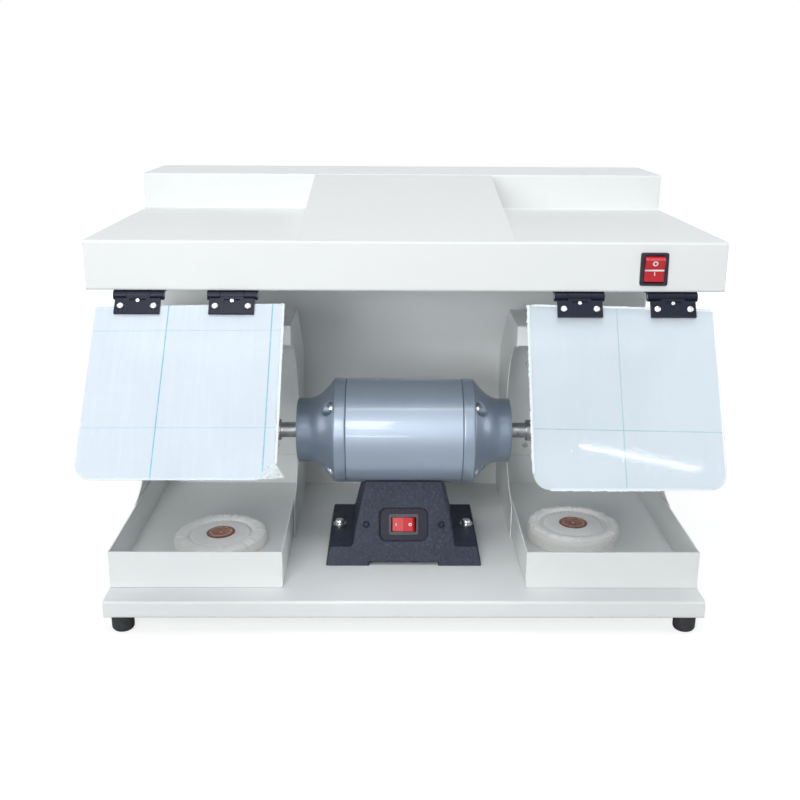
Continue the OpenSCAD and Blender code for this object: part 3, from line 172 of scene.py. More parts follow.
class Finish:
    """A Principled material whose colour, roughness and bump are built up in layers."""

    def __init__(self, name, colour, rough, metal=0.0, edge=0.4, **sockets):
        self.material = bpy.data.materials.new(name)
        self.material.use_nodes = True
        self.tree = self.material.node_tree
        self.shader = self.tree.nodes["Principled BSDF"]
        self.at = put(self.tree, "TexCoord").outputs["Object"]
        self.set("Base Color", (*colour, 1))
        self.set("Roughness", rough)
        self.set("Metallic", metal)
        for key, value in sockets.items():
            self.set(key.replace("_", " "), value)
        self.colour = (*colour, 1)
        self.normal = None
        if edge:
            self.rounded = put(self.tree, "Bevel", {"Radius": edge * mm}, samples=4).outputs[0]
            self.normal = self.rounded
            self.set("Normal", self.normal)

    def set(self, key, value):
        """Sets a socket of the shader to a value or links an output to it."""
        socket = self.shader.inputs[key]
        if isinstance(value, bpy.types.NodeSocket):
            self.tree.links.new(value, socket)
        else:
            socket.default_value = value

    def noise(self, scale, detail=3.0, rough=0.5, stretch=(1, 1, 1), distort=0.0):
        """Noise in the piece's own coordinates, in metres."""
        where = put(self.tree, "Mapping", {"Vector": self.at, "Scale": stretch}).outputs[0]
        return put(self.tree, "TexNoise", {"Vector": where, "Scale": scale, "Detail": detail,
                                           "Roughness": rough, "Distortion": distort}).outputs[0]

    def ramp(self, value, stops):
        """The value sent through stops of (position, grey)."""
        n = put(self.tree, "ValToRGB", {0: value})
        while len(n.color_ramp.elements) < len(stops):
            n.color_ramp.elements.new(0.5)
        for e, (at, c) in zip(n.color_ramp.elements, stops):
            e.position = at
            e.color = (c, c, c, 1)
        return n.outputs[0]

    def vary(self, value, low, high):
        """A value between 0 and 1 spread between low and high."""
        return put(self.tree, "MapRange", {"Value": value, "To Min": low,
                                           "To Max": high}).outputs[0]

    def tint(self, value, colour, share=1.0):
        """Lays a colour over the one so far, as much as value says."""
        amount = calc(self.tree, "MULTIPLY", value, share, True)
        n = put(self.tree, "Mix", data_type="RGBA")
        self.tree.links.new(amount, n.inputs[0])
        if isinstance(self.colour, bpy.types.NodeSocket):
            self.tree.links.new(self.colour, n.inputs[6])
        else:
            n.inputs[6].default_value = self.colour
        n.inputs[7].default_value = (*colour, 1)
        self.colour = n.outputs[2]
        self.set("Base Color", self.colour)

    def bump(self, height, depth, strength=1.0):
        """Adds relief of a depth in metres to the normal so far."""
        sockets = {"Height": height, "Distance": depth, "Strength": strength}
        if self.normal:
            sockets["Normal"] = self.normal
        self.normal = put(self.tree, "Bump", sockets).outputs[0]
        self.set("Normal", self.normal)

    def axis(self, i):
        """One of the piece's own coordinates, in metres."""
        return put(self.tree, "SeparateXYZ", {0: self.at}).outputs[i]

    def edges(self, gain=4.0):
        """1 along the edges, where the rounded normal leaves the face's own."""
        face = put(self.tree, "NewGeometry").outputs["Normal"]
        same = put(self.tree, "VectorMath", {0: self.rounded, 1: face},
                   operation="DOT_PRODUCT").outputs["Value"]
        return calc(self.tree, "MULTIPLY", calc(self.tree, "SUBTRACT", 1.0, same), gain, True)

    def radius(self):
        """Distance in plan from the piece's own origin, in metres."""
        flat = put(self.tree, "VectorMath", {0: self.at, 1: (1, 1, 0)},
                   operation="MULTIPLY").outputs[0]
        return put(self.tree, "VectorMath", {0: flat}, operation="LENGTH").outputs["Value"]

    def band(self, value, middle, half, soft):
        """1 where value is within half of middle, in metres, fading over soft."""
        off = calc(self.tree, "ABSOLUTE", calc(self.tree, "SUBTRACT", value, middle))
        return put(self.tree, "MapRange", {"Value": off, "From Min": half, "From Max": half + soft,
                                           "To Min": 1.0, "To Max": 0.0}).outputs[0]


def scaled(colour, factor):
    """The colour times a factor, at most 1."""
    return tuple(min(1.0, factor * c) for c in colour)


def mottle(f, scale, colour, share, contrast=(0.4, 0.62)):
    """Soft patches of another shade."""
    f.tint(f.ramp(f.noise(scale, 4), [(contrast[0], 0), (contrast[1], 1)]), colour, share)


def cream():
    f = Finish("cream_coat", (0.79, 0.805, 0.80), 0.36, edge=0.9, Specular_IOR_Level=0.3)
    mottle(f, 5, (0.77, 0.78, 0.76), 0.4)
    mottle(f, 60, (0.80, 0.815, 0.81), 0.3)
    mottle(f, 900, (0.70, 0.69, 0.64), 0.25, (0.68, 0.76))
    # Painted highlight: the rounded edges and bends are made lighter
    f.tint(f.edges(), (0.9, 0.9, 0.88), 0.6)
    f.set("Roughness", f.vary(f.noise(45, 3), 0.30, 0.44))
    f.bump(f.noise(620, 2), 0.00010, 0.5)
    f.bump(f.noise(24, 1), 0.0006, 0.12)
    return f.material


def rubber():
    f = Finish("foot_rubber", (0.016, 0.016, 0.018), 0.62, edge=0.6)
    mottle(f, 300, (0.035, 0.035, 0.036), 0.6)
    # Painted highlight: lighter along the edges
    f.tint(f.edges(), (0.05, 0.05, 0.05), 0.5)
    f.bump(f.noise(2200, 2), 0.0001, 0.5)
    return f.material


def zinc():
    f = Finish("zinc", (0.74, 0.75, 0.75), 0.3, 1.0, edge=0.3)
    mottle(f, 420, (0.58, 0.59, 0.57), 0.5)
    # Painted highlight: lighter along the edges
    f.tint(f.edges(), (0.9, 0.9, 0.9), 0.6)
    f.set("Roughness", f.vary(f.noise(900, 3), 0.2, 0.4))
    f.bump(f.noise(1500, 2), 0.00005, 0.4)
    return f.material


def hinge_black():
    f = Finish("black_coat", (0.006, 0.008, 0.020), 0.34, edge=0.45, Specular_IOR_Level=0.22)
    mottle(f, 500, (0.012, 0.015, 0.036), 0.5)
    # Painted highlight: a bluish sheen along the edges
    f.tint(f.edges(), (0.07, 0.08, 0.13), 0.5)
    f.set("Roughness", f.vary(f.noise(700, 3), 0.25, 0.5))
    f.bump(f.noise(1800, 3), 0.00012, 0.5)
    return f.material


def black_plastic():
    f = Finish("black_plastic", (0.012, 0.012, 0.022), 0.36, edge=0.35)
    mottle(f, 260, (0.022, 0.022, 0.036), 0.5)
    # Painted highlight: a bluish sheen along the edges
    f.tint(f.edges(), (0.06, 0.06, 0.09), 0.5)
    f.bump(f.noise(3200, 2), 0.00006, 0.5)
    return f.material


def red_plastic():
    f = Finish("red_rocker", (0.52, 0.009, 0.02), 0.22, edge=0.4, Coat_Weight=0.3,
               Coat_Roughness=0.08, Subsurface_Weight=0.15, Subsurface_Scale=0.002)
    f.tint(f.noise(160, 2), (0.64, 0.03, 0.035), 0.35)
    f.tint(f.edges(), (0.3, 0.008, 0.015), 0.4)
    f.bump(f.noise(900, 1), 0.00003, 0.3)
    return f.material


def white_mark():
    f = Finish("mark_white", (0.86, 0.85, 0.85), 0.4, edge=0.1)
    mottle(f, 900, (0.78, 0.74, 0.74), 0.5)
    f.bump(f.noise(2500, 2), 0.00003, 0.4)
    return f.material


BARREL_SILVER = (0.355, 0.42, 0.515)
CAP_SILVER = (0.19, 0.235, 0.305)
SEAM_X = 60.5  # where barrel and cap meet, from the motor's middle
BAND_X = 72.4  # outer edge of a cap's band


def motor_silver(name, colour, rough, coat):
    """Metallic paint; the caps' bands beside the barrel take the barrel's colour."""
    f = Finish(name, colour, rough, 0.42, edge=0.6, Coat_Weight=coat, Coat_Roughness=0.035)
    inwards = calc(f.tree, "ABSOLUTE", f.axis(0))
    f.tint(calc(f.tree, "LESS_THAN", inwards, BAND_X * mm), BARREL_SILVER)
    mottle(f, 12, scaled(colour, 0.88), 0.4)
    f.tint(f.ramp(f.noise(5200, 1), [(0.52, 0), (0.66, 1)]), scaled(colour, 1.3), 0.5)
    # Painted highlight: lighter along the edges and the pockets' rims
    f.tint(f.edges(), scaled(colour, 1.4), 0.5)
    f.tint(f.band(inwards, SEAM_X * mm, 0.2 * mm, 0.25 * mm), (0.02, 0.03, 0.04), 0.6)
    f.set("Roughness", f.vary(f.noise(90, 3), rough - 0.05, rough + 0.06))
    f.bump(f.noise(160, 2), 0.0003, 0.08)
    f.bump(f.noise(1500, 2), 0.00004, 0.25)
    return f.material


def cast_paint():
    f = Finish("pedestal_paint", (0.012, 0.017, 0.034), 0.45, edge=0, Specular_IOR_Level=0.3)
    mottle(f, 30, (0.020, 0.027, 0.050), 0.5)
    mottle(f, 420, (0.045, 0.058, 0.095), 0.6, (0.5, 0.72))
    f.set("Roughness", f.vary(f.noise(400, 4), 0.32, 0.6))
    f.bump(f.noise(260, 4, 0.6), 0.0013, 0.7)
    f.bump(f.noise(1300, 3), 0.0003, 0.5)
    return f.material


def turned_steel():
    f = Finish("shaft_steel", (0.42, 0.42, 0.43), 0.28, 1.0, edge=0.3)
    mottle(f, 150, (0.22, 0.21, 0.20), 0.6)
    rings = f.noise(60, 2, 0.5, (60, 1, 1))
    f.set("Roughness", f.vary(rings, 0.18, 0.45))
    f.bump(rings, 0.00008, 0.6)
    return f.material


def bare_aluminium():
    f = Finish("bare_aluminium", (0.72, 0.73, 0.74), 0.32, 1.0)
    lines = f.noise(220, 2, 0.5, (0.05, 1, 1))
    f.set("Roughness", f.vary(lines, 0.22, 0.42))
    f.bump(lines, 0.00005, 0.5)
    return f.material


def laminations():
    f = Finish("laminations", (0.2, 0.19, 0.18), 0.45, 0.8)
    sheets = f.noise(900, 0, 0.5, (1, 0.01, 0.01))
    f.tint(sheets, (0.33, 0.31, 0.29), 0.8)
    f.bump(sheets, 0.0002, 0.6)
    return f.material


def copper():
    f = Finish("copper", (0.52, 0.19, 0.07), 0.3, 0.9, Coat_Weight=0.5)
    wires = f.noise(420, 1, 0.5, (0.1, 1, 1))
    f.tint(wires, (0.28, 0.09, 0.03), 0.7)
    f.bump(wires, 0.0004, 0.7)
    return f.material


def lamp_enamel():
    f = Finish("lamp_white", (0.82, 0.82, 0.8), 0.4, edge=0.8)
    mottle(f, 40, (0.78, 0.78, 0.75), 0.4)
    f.bump(f.noise(800, 2), 0.00008, 0.3)
    return f.material


def tube_glass():
    f = Finish("lamp_glass", (0.9, 0.9, 0.88), 0.15, Coat_Weight=0.8)
    f.tint(f.ramp(f.axis(0), [(0.0, 0), (0.2, 1)]), (0.93, 0.93, 0.92), 0.4)
    f.bump(f.noise(500, 1), 0.00003, 0.2)
    return f.material


def fleece():
    f = Finish("filter_mat", (0.7, 0.7, 0.66), 0.95, edge=0, Sheen_Weight=0.4)
    mottle(f, 260, (0.5, 0.5, 0.47), 0.6)
    f.bump(f.noise(700, 5, 0.7), 0.0012, 0.9)
    return f.material


def acrylic():
    """Clear sheet whose sawn edges are frosted."""
    f = Finish("clear_acrylic", (0.86, 0.93, 0.96), 0.05, edge=0.8, Coat_Weight=1.0,
               Coat_Roughness=0.03)
    sawn = f.edges(2.5)
    f.tint(sawn, (0.90, 0.95, 0.97), 0.7)
    f.set("Alpha", f.vary(sawn, 0.22, 0.9))
    f.set("Roughness", f.vary(sawn, 0.04, 0.5))
    f.bump(f.noise(900, 3), 0.00008, 0.15)
    return f.material


LINE_BLUE = (0.06, 0.50, 0.64)


def cling_film(name, base, shade, strokes):
    """Protective film in the pane's own frame, with ruled cutting lines on it.

    A stroke is the axis across it, the axis along it, its start in mm where the
    second is 0, its slope, its half width in mm and its strength.
    """
    f = Finish(name, base, 0.55, edge=0, Transmission_Weight=0.4, IOR=1.15, Coat_Weight=0.3,
               Coat_Roughness=0.2)
    axes = {"x": f.axis(0), "z": f.axis(2)}
    mottle(f, 22, shade, 0.55)
    mottle(f, 170, scaled(base, 0.97), 0.5)
    creases = f.noise(34, 4, 0.6, (6, 1, 0.35), 0.6)
    f.tint(f.ramp(creases, [(0.50, 0), (0.62, 1)]), scaled(base, 1.04), 0.5)
    worn = f.ramp(f.noise(90, 3), [(0.25, 0.4), (0.5, 1)])
    for across, along, start, slope, half, share in strokes:
        line = calc(f.tree, "MULTIPLY_ADD", axes[along], slope)
        line.node.inputs[2].default_value = start * mm
        on = f.band(axes[across], line, half * mm, 0.7 * half * mm)
        f.tint(calc(f.tree, "MULTIPLY", on, worn), LINE_BLUE, share)
    f.set("Roughness", f.vary(creases, 0.48, 0.62))
    f.bump(creases, 0.0009, 0.35)
    f.bump(f.noise(420, 2), 0.0002, 0.2)
    return f.material


def clear_film():
    f = Finish("loose_film", (0.80, 0.87, 0.93), 0.15, edge=0, Coat_Weight=0.6, Alpha=0.5)
    f.tint(f.noise(180, 3), (0.80, 0.86, 0.92), 0.5)
    f.bump(f.noise(120, 3), 0.0006, 0.5)
    return f.material


def burr():
    f = Finish("sawn_burr", (0.80, 0.86, 0.91), 0.5, edge=0)
    f.tint(f.noise(700, 2), (0.62, 0.68, 0.74), 0.6)
    f.bump(f.noise(1500, 3), 0.0003, 0.6)
    return f.material


def cotton():
    f = Finish("cotton", (0.93, 0.92, 0.895), 0.95, edge=0, Sheen_Weight=0.35,
               Sheen_Roughness=0.5)
    mottle(f, 45, (0.88, 0.87, 0.83), 0.5)
    mottle(f, 300, (0.84, 0.825, 0.78), 0.3)
    yarn = {"Vector": f.at, "Scale": 260, "Distortion": 1.2, "Detail": 1, "Detail Scale": 0.6}
    warp, weft = (put(f.tree, "TexWave", yarn, bands_direction=d).outputs[1] for d in "XY")
    weave = calc(f.tree, "MULTIPLY", warp, weft)
    f.tint(weave, (0.94, 0.93, 0.91), 0.5)
    f.bump(weave, 0.00025, 0.5)
    f.bump(f.noise(500, 4), 0.0005, 0.5)
    return f.material


def thread():
    f = Finish("stitch_thread", (0.78, 0.76, 0.71), 0.9, edge=0, Sheen_Weight=0.3)
    mottle(f, 900, (0.42, 0.39, 0.33), 0.5)
    f.bump(f.noise(2600, 2, 0.5, (1, 1, 4)), 0.0002, 0.6)
    return f.material


def leather():
    """Leather disc, centred on its own origin, with a worn ring pressed into its face."""
    f = Finish("leather", (0.37, 0.165, 0.115), 0.6, edge=0)
    mottle(f, 300, (0.50, 0.27, 0.19), 0.7)
    mottle(f, 90, (0.17, 0.055, 0.04), 0.6)
    r = f.radius()
    worn = f.ramp(f.noise(230, 3), [(0.40, 0), (0.56, 1)])
    ring = f.band(r, 11.2 * mm, 0.7 * mm, 0.6 * mm)
    f.tint(calc(f.tree, "MULTIPLY", ring, worn), (0.62, 0.50, 0.40), 0.9)
    f.tint(f.band(r, 14.9 * mm, 0.5 * mm, 0.8 * mm), (0.10, 0.025, 0.025), 0.7)
    f.bump(f.noise(900, 4), 0.0004, 0.6)
    f.bump(ring, 0.0003, 0.5)
    return f.material


# Ruled lines as in the photograph, in each pane's own frame
LEFT_LINES = [("x", "z", -222.0, 0.0108, 0.42, 0.8), ("x", "z", -125.2, 0.0068, 0.42, 0.8),
              ("z", "x", -36.0, 0.010, 0.24, 0.42), ("z", "x", -135.0, 0.004, 0.24, 0.45)]
RIGHT_LINES = [("x", "z", 198.8, -0.0052, 0.42, 0.62),
               ("z", "x", -125.1, -0.0186, 0.42, 0.65)]
LEFT_FILM, LEFT_FILM_SHADE = (0.77, 0.845, 0.925), (0.74, 0.825, 0.91)
RIGHT_FILM, RIGHT_FILM_SHADE = (0.79, 0.88, 0.98), (0.75, 0.855, 0.965)

looks = {"cream_coat": cream(), "foot_rubber": rubber(), "zinc": zinc(),
         "black_coat": hinge_black(), "black_plastic": black_plastic(),
         "red_rocker": red_plastic(), "mark_white": white_mark(),
         "motor_paint": motor_silver("motor_paint", CAP_SILVER, 0.38, 0.3),
         "barrel_paint": motor_silver("barrel_paint", BARREL_SILVER, 0.42, 0.6),
         "pedestal_paint": cast_paint(), "shaft_steel": turned_steel(),
         "bare_aluminium": bare_aluminium(), "laminations": laminations(), "copper": copper(),
         "lamp_white": lamp_enamel(), "lamp_glass": tube_glass(), "filter_mat": fleece(),
         "clear_acrylic": acrylic(), "loose_film": clear_film(), "sawn_burr": burr(),
         "left_film": cling_film("left_film", LEFT_FILM, LEFT_FILM_SHADE, LEFT_LINES),
         "right_film": cling_film("right_film", RIGHT_FILM, RIGHT_FILM_SHADE, RIGHT_LINES),
         "cotton": cotton(), "stitch_thread": thread(), "leather": leather()}
slot_of = {p["node"]: p["material_slot"] for p in frame["record"]["subparts"]}


def paint(obj, look):
    """Gives an object one of the looks."""
    obj.data.materials.clear()
    obj.data.materials.append(looks[look])


for name, obj in nodes.items():
    paint(obj, "barrel_paint" if name == "motor_barrel" else slot_of[name])


# ---- making pieces -------------------------------------------------------

def piece(name, mesh, look, body, place=None):
    """An object from a mesh in metres, placed, painted and riding on a body."""
    obj = bpy.data.objects.new(name, mesh)
    scene.collection.objects.link(obj)
    obj.matrix_world = place or Matrix()
    paint(obj, look)
    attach(obj, body)
    return obj


def mesh_of(name, points, faces):
    """A smooth mesh from points in millimetres."""
    mesh = bpy.data.meshes.new(name)
    mesh.from_pydata([tuple(c * mm for c in p) for p in points], [], faces)
    mesh.polygons.foreach_set("use_smooth", [True] * len(faces))
    mesh.update()
    return mesh


def grid_faces(rows, columns, round_columns=False, start=0):
    """Quads over rows of points, whose columns may close in a circle."""
    wrap = columns if round_columns else columns - 1
    return [(start + i * columns + j, start + i * columns + (j + 1) % columns,
             start + (i + 1) * columns + (j + 1) % columns, start + (i + 1) * columns + j)
            for i in range(rows - 1) for j in range(wrap)]


def fan(centre, start, count):
    """Triangles from a centre point to a closed ring of points."""
    return [(centre, start + j, start + (j + 1) % count) for j in range(count)]


LAYER_STEP = 17.3  # keeps the noise planes of two seeds well apart


def wave(x, y, seed, scale=1.0):
    """Smooth noise from -1 to 1 over a plane."""
    return noise.noise(Vector((x * scale, y * scale, LAYER_STEP * seed)))


def round_wave(angle, reach, seed):
    """The same noise along a circle of radius reach, so that it closes."""
    return wave(reach * math.cos(angle), reach * math.sin(angle), seed)


def turns(count):
    """Equal angles round a circle."""
    return [2 * math.pi * j / count for j in range(count)]


# ---- castings with their edges run soft ------------------------------------

def cast(name, node, slot, voxel, rounds):
    """A copy of a cast node whose corners are rounded by remeshing and smoothing it."""
    copy = piece(name, nodes[node].data.copy(), slot, "cabinet")
    skin = copy.modifiers.new("skin", "REMESH")
    skin.mode = "VOXEL"
    skin.voxel_size = voxel * mm
    skin.use_smooth_shade = True
    soft = copy.modifiers.new("soft", "SMOOTH")
    soft.factor = 0.5
    soft.iterations = rounds
    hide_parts(node)


cast("pedestal_casting", "motor_pedestal", "pedestal_paint", 0.8, 9)
for side in ("left", "right"):
    cast(side + "_cap_casting", side + "_end_cap", "motor_paint", 0.7, 26)


# ---- screw heads ---------------------------------------------------------

def pan_head(name, radius, height, body, look, place, turn):
    """Domed head with a cross recess; its axis is the place's -y, its seat y = 0."""
    rings, spokes = 14, 64
    arm_width, arm_reach, recess = 0.1955 * radius, 0.64 * radius, 0.3 * radius
    points = [(0.0, -height + 0.3025 * radius, 0.0)]
    for i in range(1, rings + 1):
        r = radius * i / rings
        for a in turns(spokes):
            lift = height * (1 - 0.42 * (i / rings) ** 2.4)
            u, v = abs(r * math.cos(a + turn)), abs(r * math.sin(a + turn))
            if min(u, v) < arm_width and max(u, v) < arm_reach:
                lift -= recess
            points.append((r * math.cos(a), -lift, r * math.sin(a)))
    points += [(radius * math.cos(a), 0.0, radius * math.sin(a)) for a in turns(spokes)]
    faces = fan(0, 1, spokes) + grid_faces(rings + 1, spokes, True, 1)
    return piece(name, mesh_of(name, points, faces), look, body, place)


def at_mm(x, y, z):
    """A shift given in millimetres."""
    return Matrix.Translation((x * mm, y * mm, z * mm))


def tipped(angle):
    """A turn about x, in radians."""
    return Matrix.Rotation(angle, 4, "X")


# Places in the CAD, in mm: the shields' hinge line, the hinges' x either side of a
# shield's middle, the screws of a hinge's leaf, and the pedestal's leaning front face
HINGE_Y, HINGE_Z = -138.529, 326.9
SHIELD_X, HINGE_OFF = 207.35, 44
LEAF_SCREW_OFF, LEAF_FACE_Y, LEAF_SCREW_Z = 15.4, -3, -13.5
TILT = {"left": math.radians(41), "right": math.radians(31)}
PLATE_Y, PLATE_Z, PLATE_LEAN, PLATE_SCREW_X = -92.93, 75, math.radians(21.92), 39.5

# A pane's own frame lies in the hinge line, with z along the pane
left_frame, right_frame = (at_mm(0, HINGE_Y, HINGE_Z) @ tipped(-TILT[side])
                           for side in ("left", "right"))
for side, pane_frame, sign in (("left", left_frame, -1), ("right", right_frame, 1)):
    for k, at in enumerate((SHIELD_X - HINGE_OFF, SHIELD_X + HINGE_OFF)):
        for m, off in enumerate((-LEAF_SCREW_OFF, LEAF_SCREW_OFF)):
            spot = at_mm(sign * at + off, LEAF_FACE_Y, LEAF_SCREW_Z)
            pan_head(f"{side}_hinge_screw_{2 * k + m + 1}", 3.0, 2.5, side + "_shield", "zinc",
                     pane_frame @ spot, 0.5 + k + 0.7 * m)

pedestal_face = at_mm(0, PLATE_Y, PLATE_Z) @ tipped(-PLATE_LEAN)
for m, x in enumerate((-PLATE_SCREW_X, PLATE_SCREW_X)):
    pan_head(f"plate_screw_{m + 1}", 3.5, 2.7, "cabinet", "black_coat",
             pedestal_face @ at_mm(x, 0, 0), 0.3 + m)


# ---- switch marks --------------------------------------------------------

def ring_mesh(name, outer, inner, thick):
    """A flat ring facing -y."""
    spokes = 40
    profile = [(inner, 0), (inner, -thick), (outer, -thick), (outer, 0)]
    points = [(r * math.cos(a), y, r * math.sin(a)) for r, y in profile for a in turns(spokes)]
    return mesh_of(name, points, grid_faces(4, spokes, True))


def bar_mesh(name, width, height, thick):
    """A bar facing -y with a rounded front."""
    steps = 8
    points = []
    for x in (-width / 2, width / 2):
        for j in range(steps + 1):
            a = math.pi * j / steps
            points.append((x, -thick * math.sin(a), -height / 2 * math.cos(a)))
    ends = [tuple(range(steps + 1)), tuple(reversed(range(steps + 1, 2 * steps + 2)))]
    return mesh_of(name, points, grid_faces(2, steps + 1) + ends)


# A rocker in the CAD: its pivot behind the panel, its valley in front of the pivot,
# and its lean at rest, which is also the slope of its two halves
ROCKER_BACK = 2.5
ROCKER_CROWN = 5.3
ROCKER_LEAN = math.radians(10)
HOOD_SWITCH_AT = (231.5, -142.029, 354)


def on_rocker(switch_frame, x, along):
    """A place on a rocker's front, along mm from its valley."""
    out = ROCKER_CROWN + abs(along) * math.tan(ROCKER_LEAN)
    slope = ROCKER_LEAN if along > 0 else -ROCKER_LEAN if along < 0 else 0
    return (switch_frame @ at_mm(0, ROCKER_BACK, 0) @ tipped(ROCKER_LEAN)
            @ at_mm(x, -out, along) @ tipped(slope))


hood_switch = at_mm(*HOOD_SWITCH_AT)
motor_switch = pedestal_face @ at_mm(0, 5, 0) @ Matrix.Rotation(math.pi / 2, 4, "Y")
for name, shape, sizes, body, switch, x, along in (
        ("hood_mark_off", ring_mesh, (2.5, 1.4, 0.12), "hood_rocker", hood_switch, 0, 7.0),
        ("hood_mark_bar", bar_mesh, (18.3, 1.7, 0.5), "hood_rocker", hood_switch, 0, 0),
        ("hood_mark_on", bar_mesh, (0.9, 3.4, 0.14), "hood_rocker", hood_switch, 0.3, -3.2),
        ("motor_mark_off", ring_mesh, (1.7, 0.9, 0.12), "motor_rocker", motor_switch, 0, 8.0),
        ("motor_mark_on", bar_mesh, (3.0, 0.8, 0.12), "motor_rocker", motor_switch, 0, -7.0)):
    piece(name, shape(name, *sizes), "mark_white", body,
          on_rocker(switch, x, along))


# ---- protective film on the shields ---------------------------------------

# A pane in its own frame, in mm: its sides towards the motor and outside, its top and
# low edges, and the radius of its round lower corners
PANE_IN, PANE_OUT = 115.0, 291.0
PANE_TOP, PANE_LOW = -8.5, -184.5
PANE_MIDDLE = -90
PANE_WIDTH = PANE_OUT - PANE_IN
CORNER = 15.0
TOP_SLANT = 4  # how much lower a film's top edge is at the outer side
PANE_BACK = 3.1  # y just behind a pane


def corner_inset(z):
    """How far a round lower corner pulls a side in at height z."""
    over = PANE_LOW + CORNER - z
    return CORNER - math.sqrt(max(CORNER ** 2 - over ** 2, 0)) if over > 0 else 0.0


def between(edges, at, share):
    """A place between two edges, which are functions, as they are at one point."""
    return edges[0](at) + share * (edges[1](at) - edges[0](at))


def film(name, look, body, place, sides, ends, y, lift, seed):
    """Sheet between two sides x(z) and two ends z(x), on the pane at y and waving by lift."""
    across, down = 150, 150
    points = []
    for i in range(down):
        v = i / (down - 1)
        for j in range(across):
            u = j / (across - 1)
            x = between(sides, PANE_MIDDLE, u)
            z = between(ends, x, v)
            x = between(sides, z, u)
            streak = wave(x, 0.06 * z, seed, 0.11) + 0.5 * wave(x, 0.1 * z, seed + 1, 0.31)
            off = lift * (0.45 + 0.3 * streak + 0.25 * wave(x, z, seed + 2, 0.03))
            points.append((x, y + off, z))
    mesh = mesh_of(name, points, grid_faces(down, across))
    return piece(name, mesh, look, body, place)


def ragged(seed, coarse, fine):
    """Uneven cut along an edge, in mm, at a place along it."""
    return lambda t: coarse * wave(t, 0, seed, 0.05) + fine * wave(t, 0, seed + 3, 0.9)


def fringe(name, body, place, path, reach, seed):
    """Sawn edge: a ribbon of torn film and burr that stands off a path.

    The path is a list of ((x, z), outward normal).
    """
    inside, least = -1.4, 0.08
    points = []
    for k, ((x, z), (nx, nz)) in enumerate(path):
        teeth = 0.45 * wave(3.1 * k, 0, seed, 0.6) + 0.35 * wave(k, 0, seed + 5, 1.7)
        out = reach * (0.55 + teeth)
        curl = 0.5 * wave(k, 3, seed, 0.4)
        columns = (inside, 0.0, max(least, out))
        for t in columns:
            points.append((x + nx * t, curl * max(t, 0) + (0.25 if t < 0 else 0), z + nz * t))
    mesh = mesh_of(name, points, grid_faces(len(path), len(columns)))
    return piece(name, mesh, "sawn_burr", body, place)


def straight(a, b, normal, step=0.7):
    """Points from a to b, each with the outward normal."""
    count = max(2, int(math.dist(a, b) / step))
    return [((a[0] + (b[0] - a[0]) * i / count, a[1] + (b[1] - a[1]) * i / count), normal)
            for i in range(count + 1)]


rag_l, rag_r = ragged(1, 1.0, 0.5), ragged(5, 0.6, 0.5)


CUT_FROM, CUT_SLOPE = -168, 16 / 17


def left_inner(z):
    """The left film's torn side next to the motor, cut away at the low corner."""
    cut = max(0.0, (CUT_FROM - z) * CUT_SLOPE)
    return -PANE_IN - 1.5 - cut + 0.8 * rag_l(z) + 1.2 * (cut > 0) * wave(z, 0, 8, 0.5)


film("left_film_sheet", "left_film", "left_shield", left_frame,
     (lambda z: -PANE_OUT + 0.8 + corner_inset(z) + 0.3 * rag_r(z), left_inner),
     (lambda x: PANE_TOP - 0.6 - TOP_SLANT * (-x - PANE_IN) / PANE_WIDTH + 0.3 * rag_l(x + 50),
      lambda x: PANE_LOW + 0.5 + 0.3 * rag_r(x)), -0.10, -0.7, 1)
film("right_film_sheet", "right_film", "right_shield", right_frame,
     (lambda z: PANE_IN + 1.0 + corner_inset(z) + 0.5 * rag_l(z + 9),
      lambda z: PANE_OUT - 0.8 - corner_inset(z) + 0.3 * rag_r(z)),
     (lambda x: PANE_TOP - 0.7 - TOP_SLANT * (x - PANE_IN) / PANE_WIDTH + 0.5 * rag_l(x),
      lambda x: PANE_LOW + 0.8 + 0.5 * rag_r(x + 30)), PANE_BACK, 0.7, 6)

fringe("left_fringe_inner", "left_shield", left_frame,
       straight((-PANE_IN, PANE_TOP), (-PANE_IN, PANE_LOW + CORNER), (1, 0)), 1.6, 2)
fringe("left_fringe_low", "left_shield", left_frame,
       straight((-PANE_IN - CORNER, PANE_LOW), (-PANE_OUT + CORNER, PANE_LOW), (0, -1)), 0.8, 3)
fringe("right_fringe_inner", "right_shield", right_frame,
       straight((PANE_IN, PANE_TOP), (PANE_IN, PANE_LOW + CORNER), (-1, 0)), 2.6, 4)
fringe("right_fringe_low", "right_shield", right_frame,
       straight((PANE_IN + CORNER, PANE_LOW), (PANE_OUT - CORNER, PANE_LOW), (0, -1)), 2.4, 5)
fringe("right_fringe_top", "right_shield", right_frame,
       straight((PANE_IN + 3, PANE_TOP - 0.1), (PANE_OUT - 3, PANE_TOP - 3.9), (0, 1)), 1.5, 6)


def peeled_corner():
    """Crumpled flap of film that hangs loose past the left film's cut corner."""
    top, tip, heel = (-117.0, -168.0), (-106.5, -183.0), (-133.0, -185.2)
    rows, columns = 40, 40
    points = []
    for i in range(rows):
        v = i / (rows - 1)
        for j in range(columns):
            u = j / (columns - 1)
            x = top[0] + v * (heel[0] - top[0] + u * (tip[0] - heel[0]))
            z = top[1] + v * (heel[1] - top[1] + u * (tip[1] - heel[1]))
            crumple = abs(wave(x, z, 21, 0.16)) + 0.5 * abs(wave(x, z, 22, 0.4))
            edge = 0.8 * wave(40 * u, 0, 23, 0.3) * v
            points.append((x, -0.3 - 3.4 * crumple * v, z + edge))
    return mesh_of("left_film_corner", points, grid_faces(rows, columns))


piece("left_film_corner", peeled_corner(), "loose_film", "left_shield",
      left_frame)


# ---- the lamp tube that shows in the right pane ----------------------------

def mirrored(place, x, z, far):
    """The point, far metres on, that the camera sees mirrored in a pane at (x, z)."""
    eye = place.inverted() @ camera.matrix_world.translation
    spot = Vector((x * mm, 0, z * mm))
    ray = (spot - eye).normalized()
    return place @ (spot + Vector((ray.x, -ray.y, ray.z)) * far)


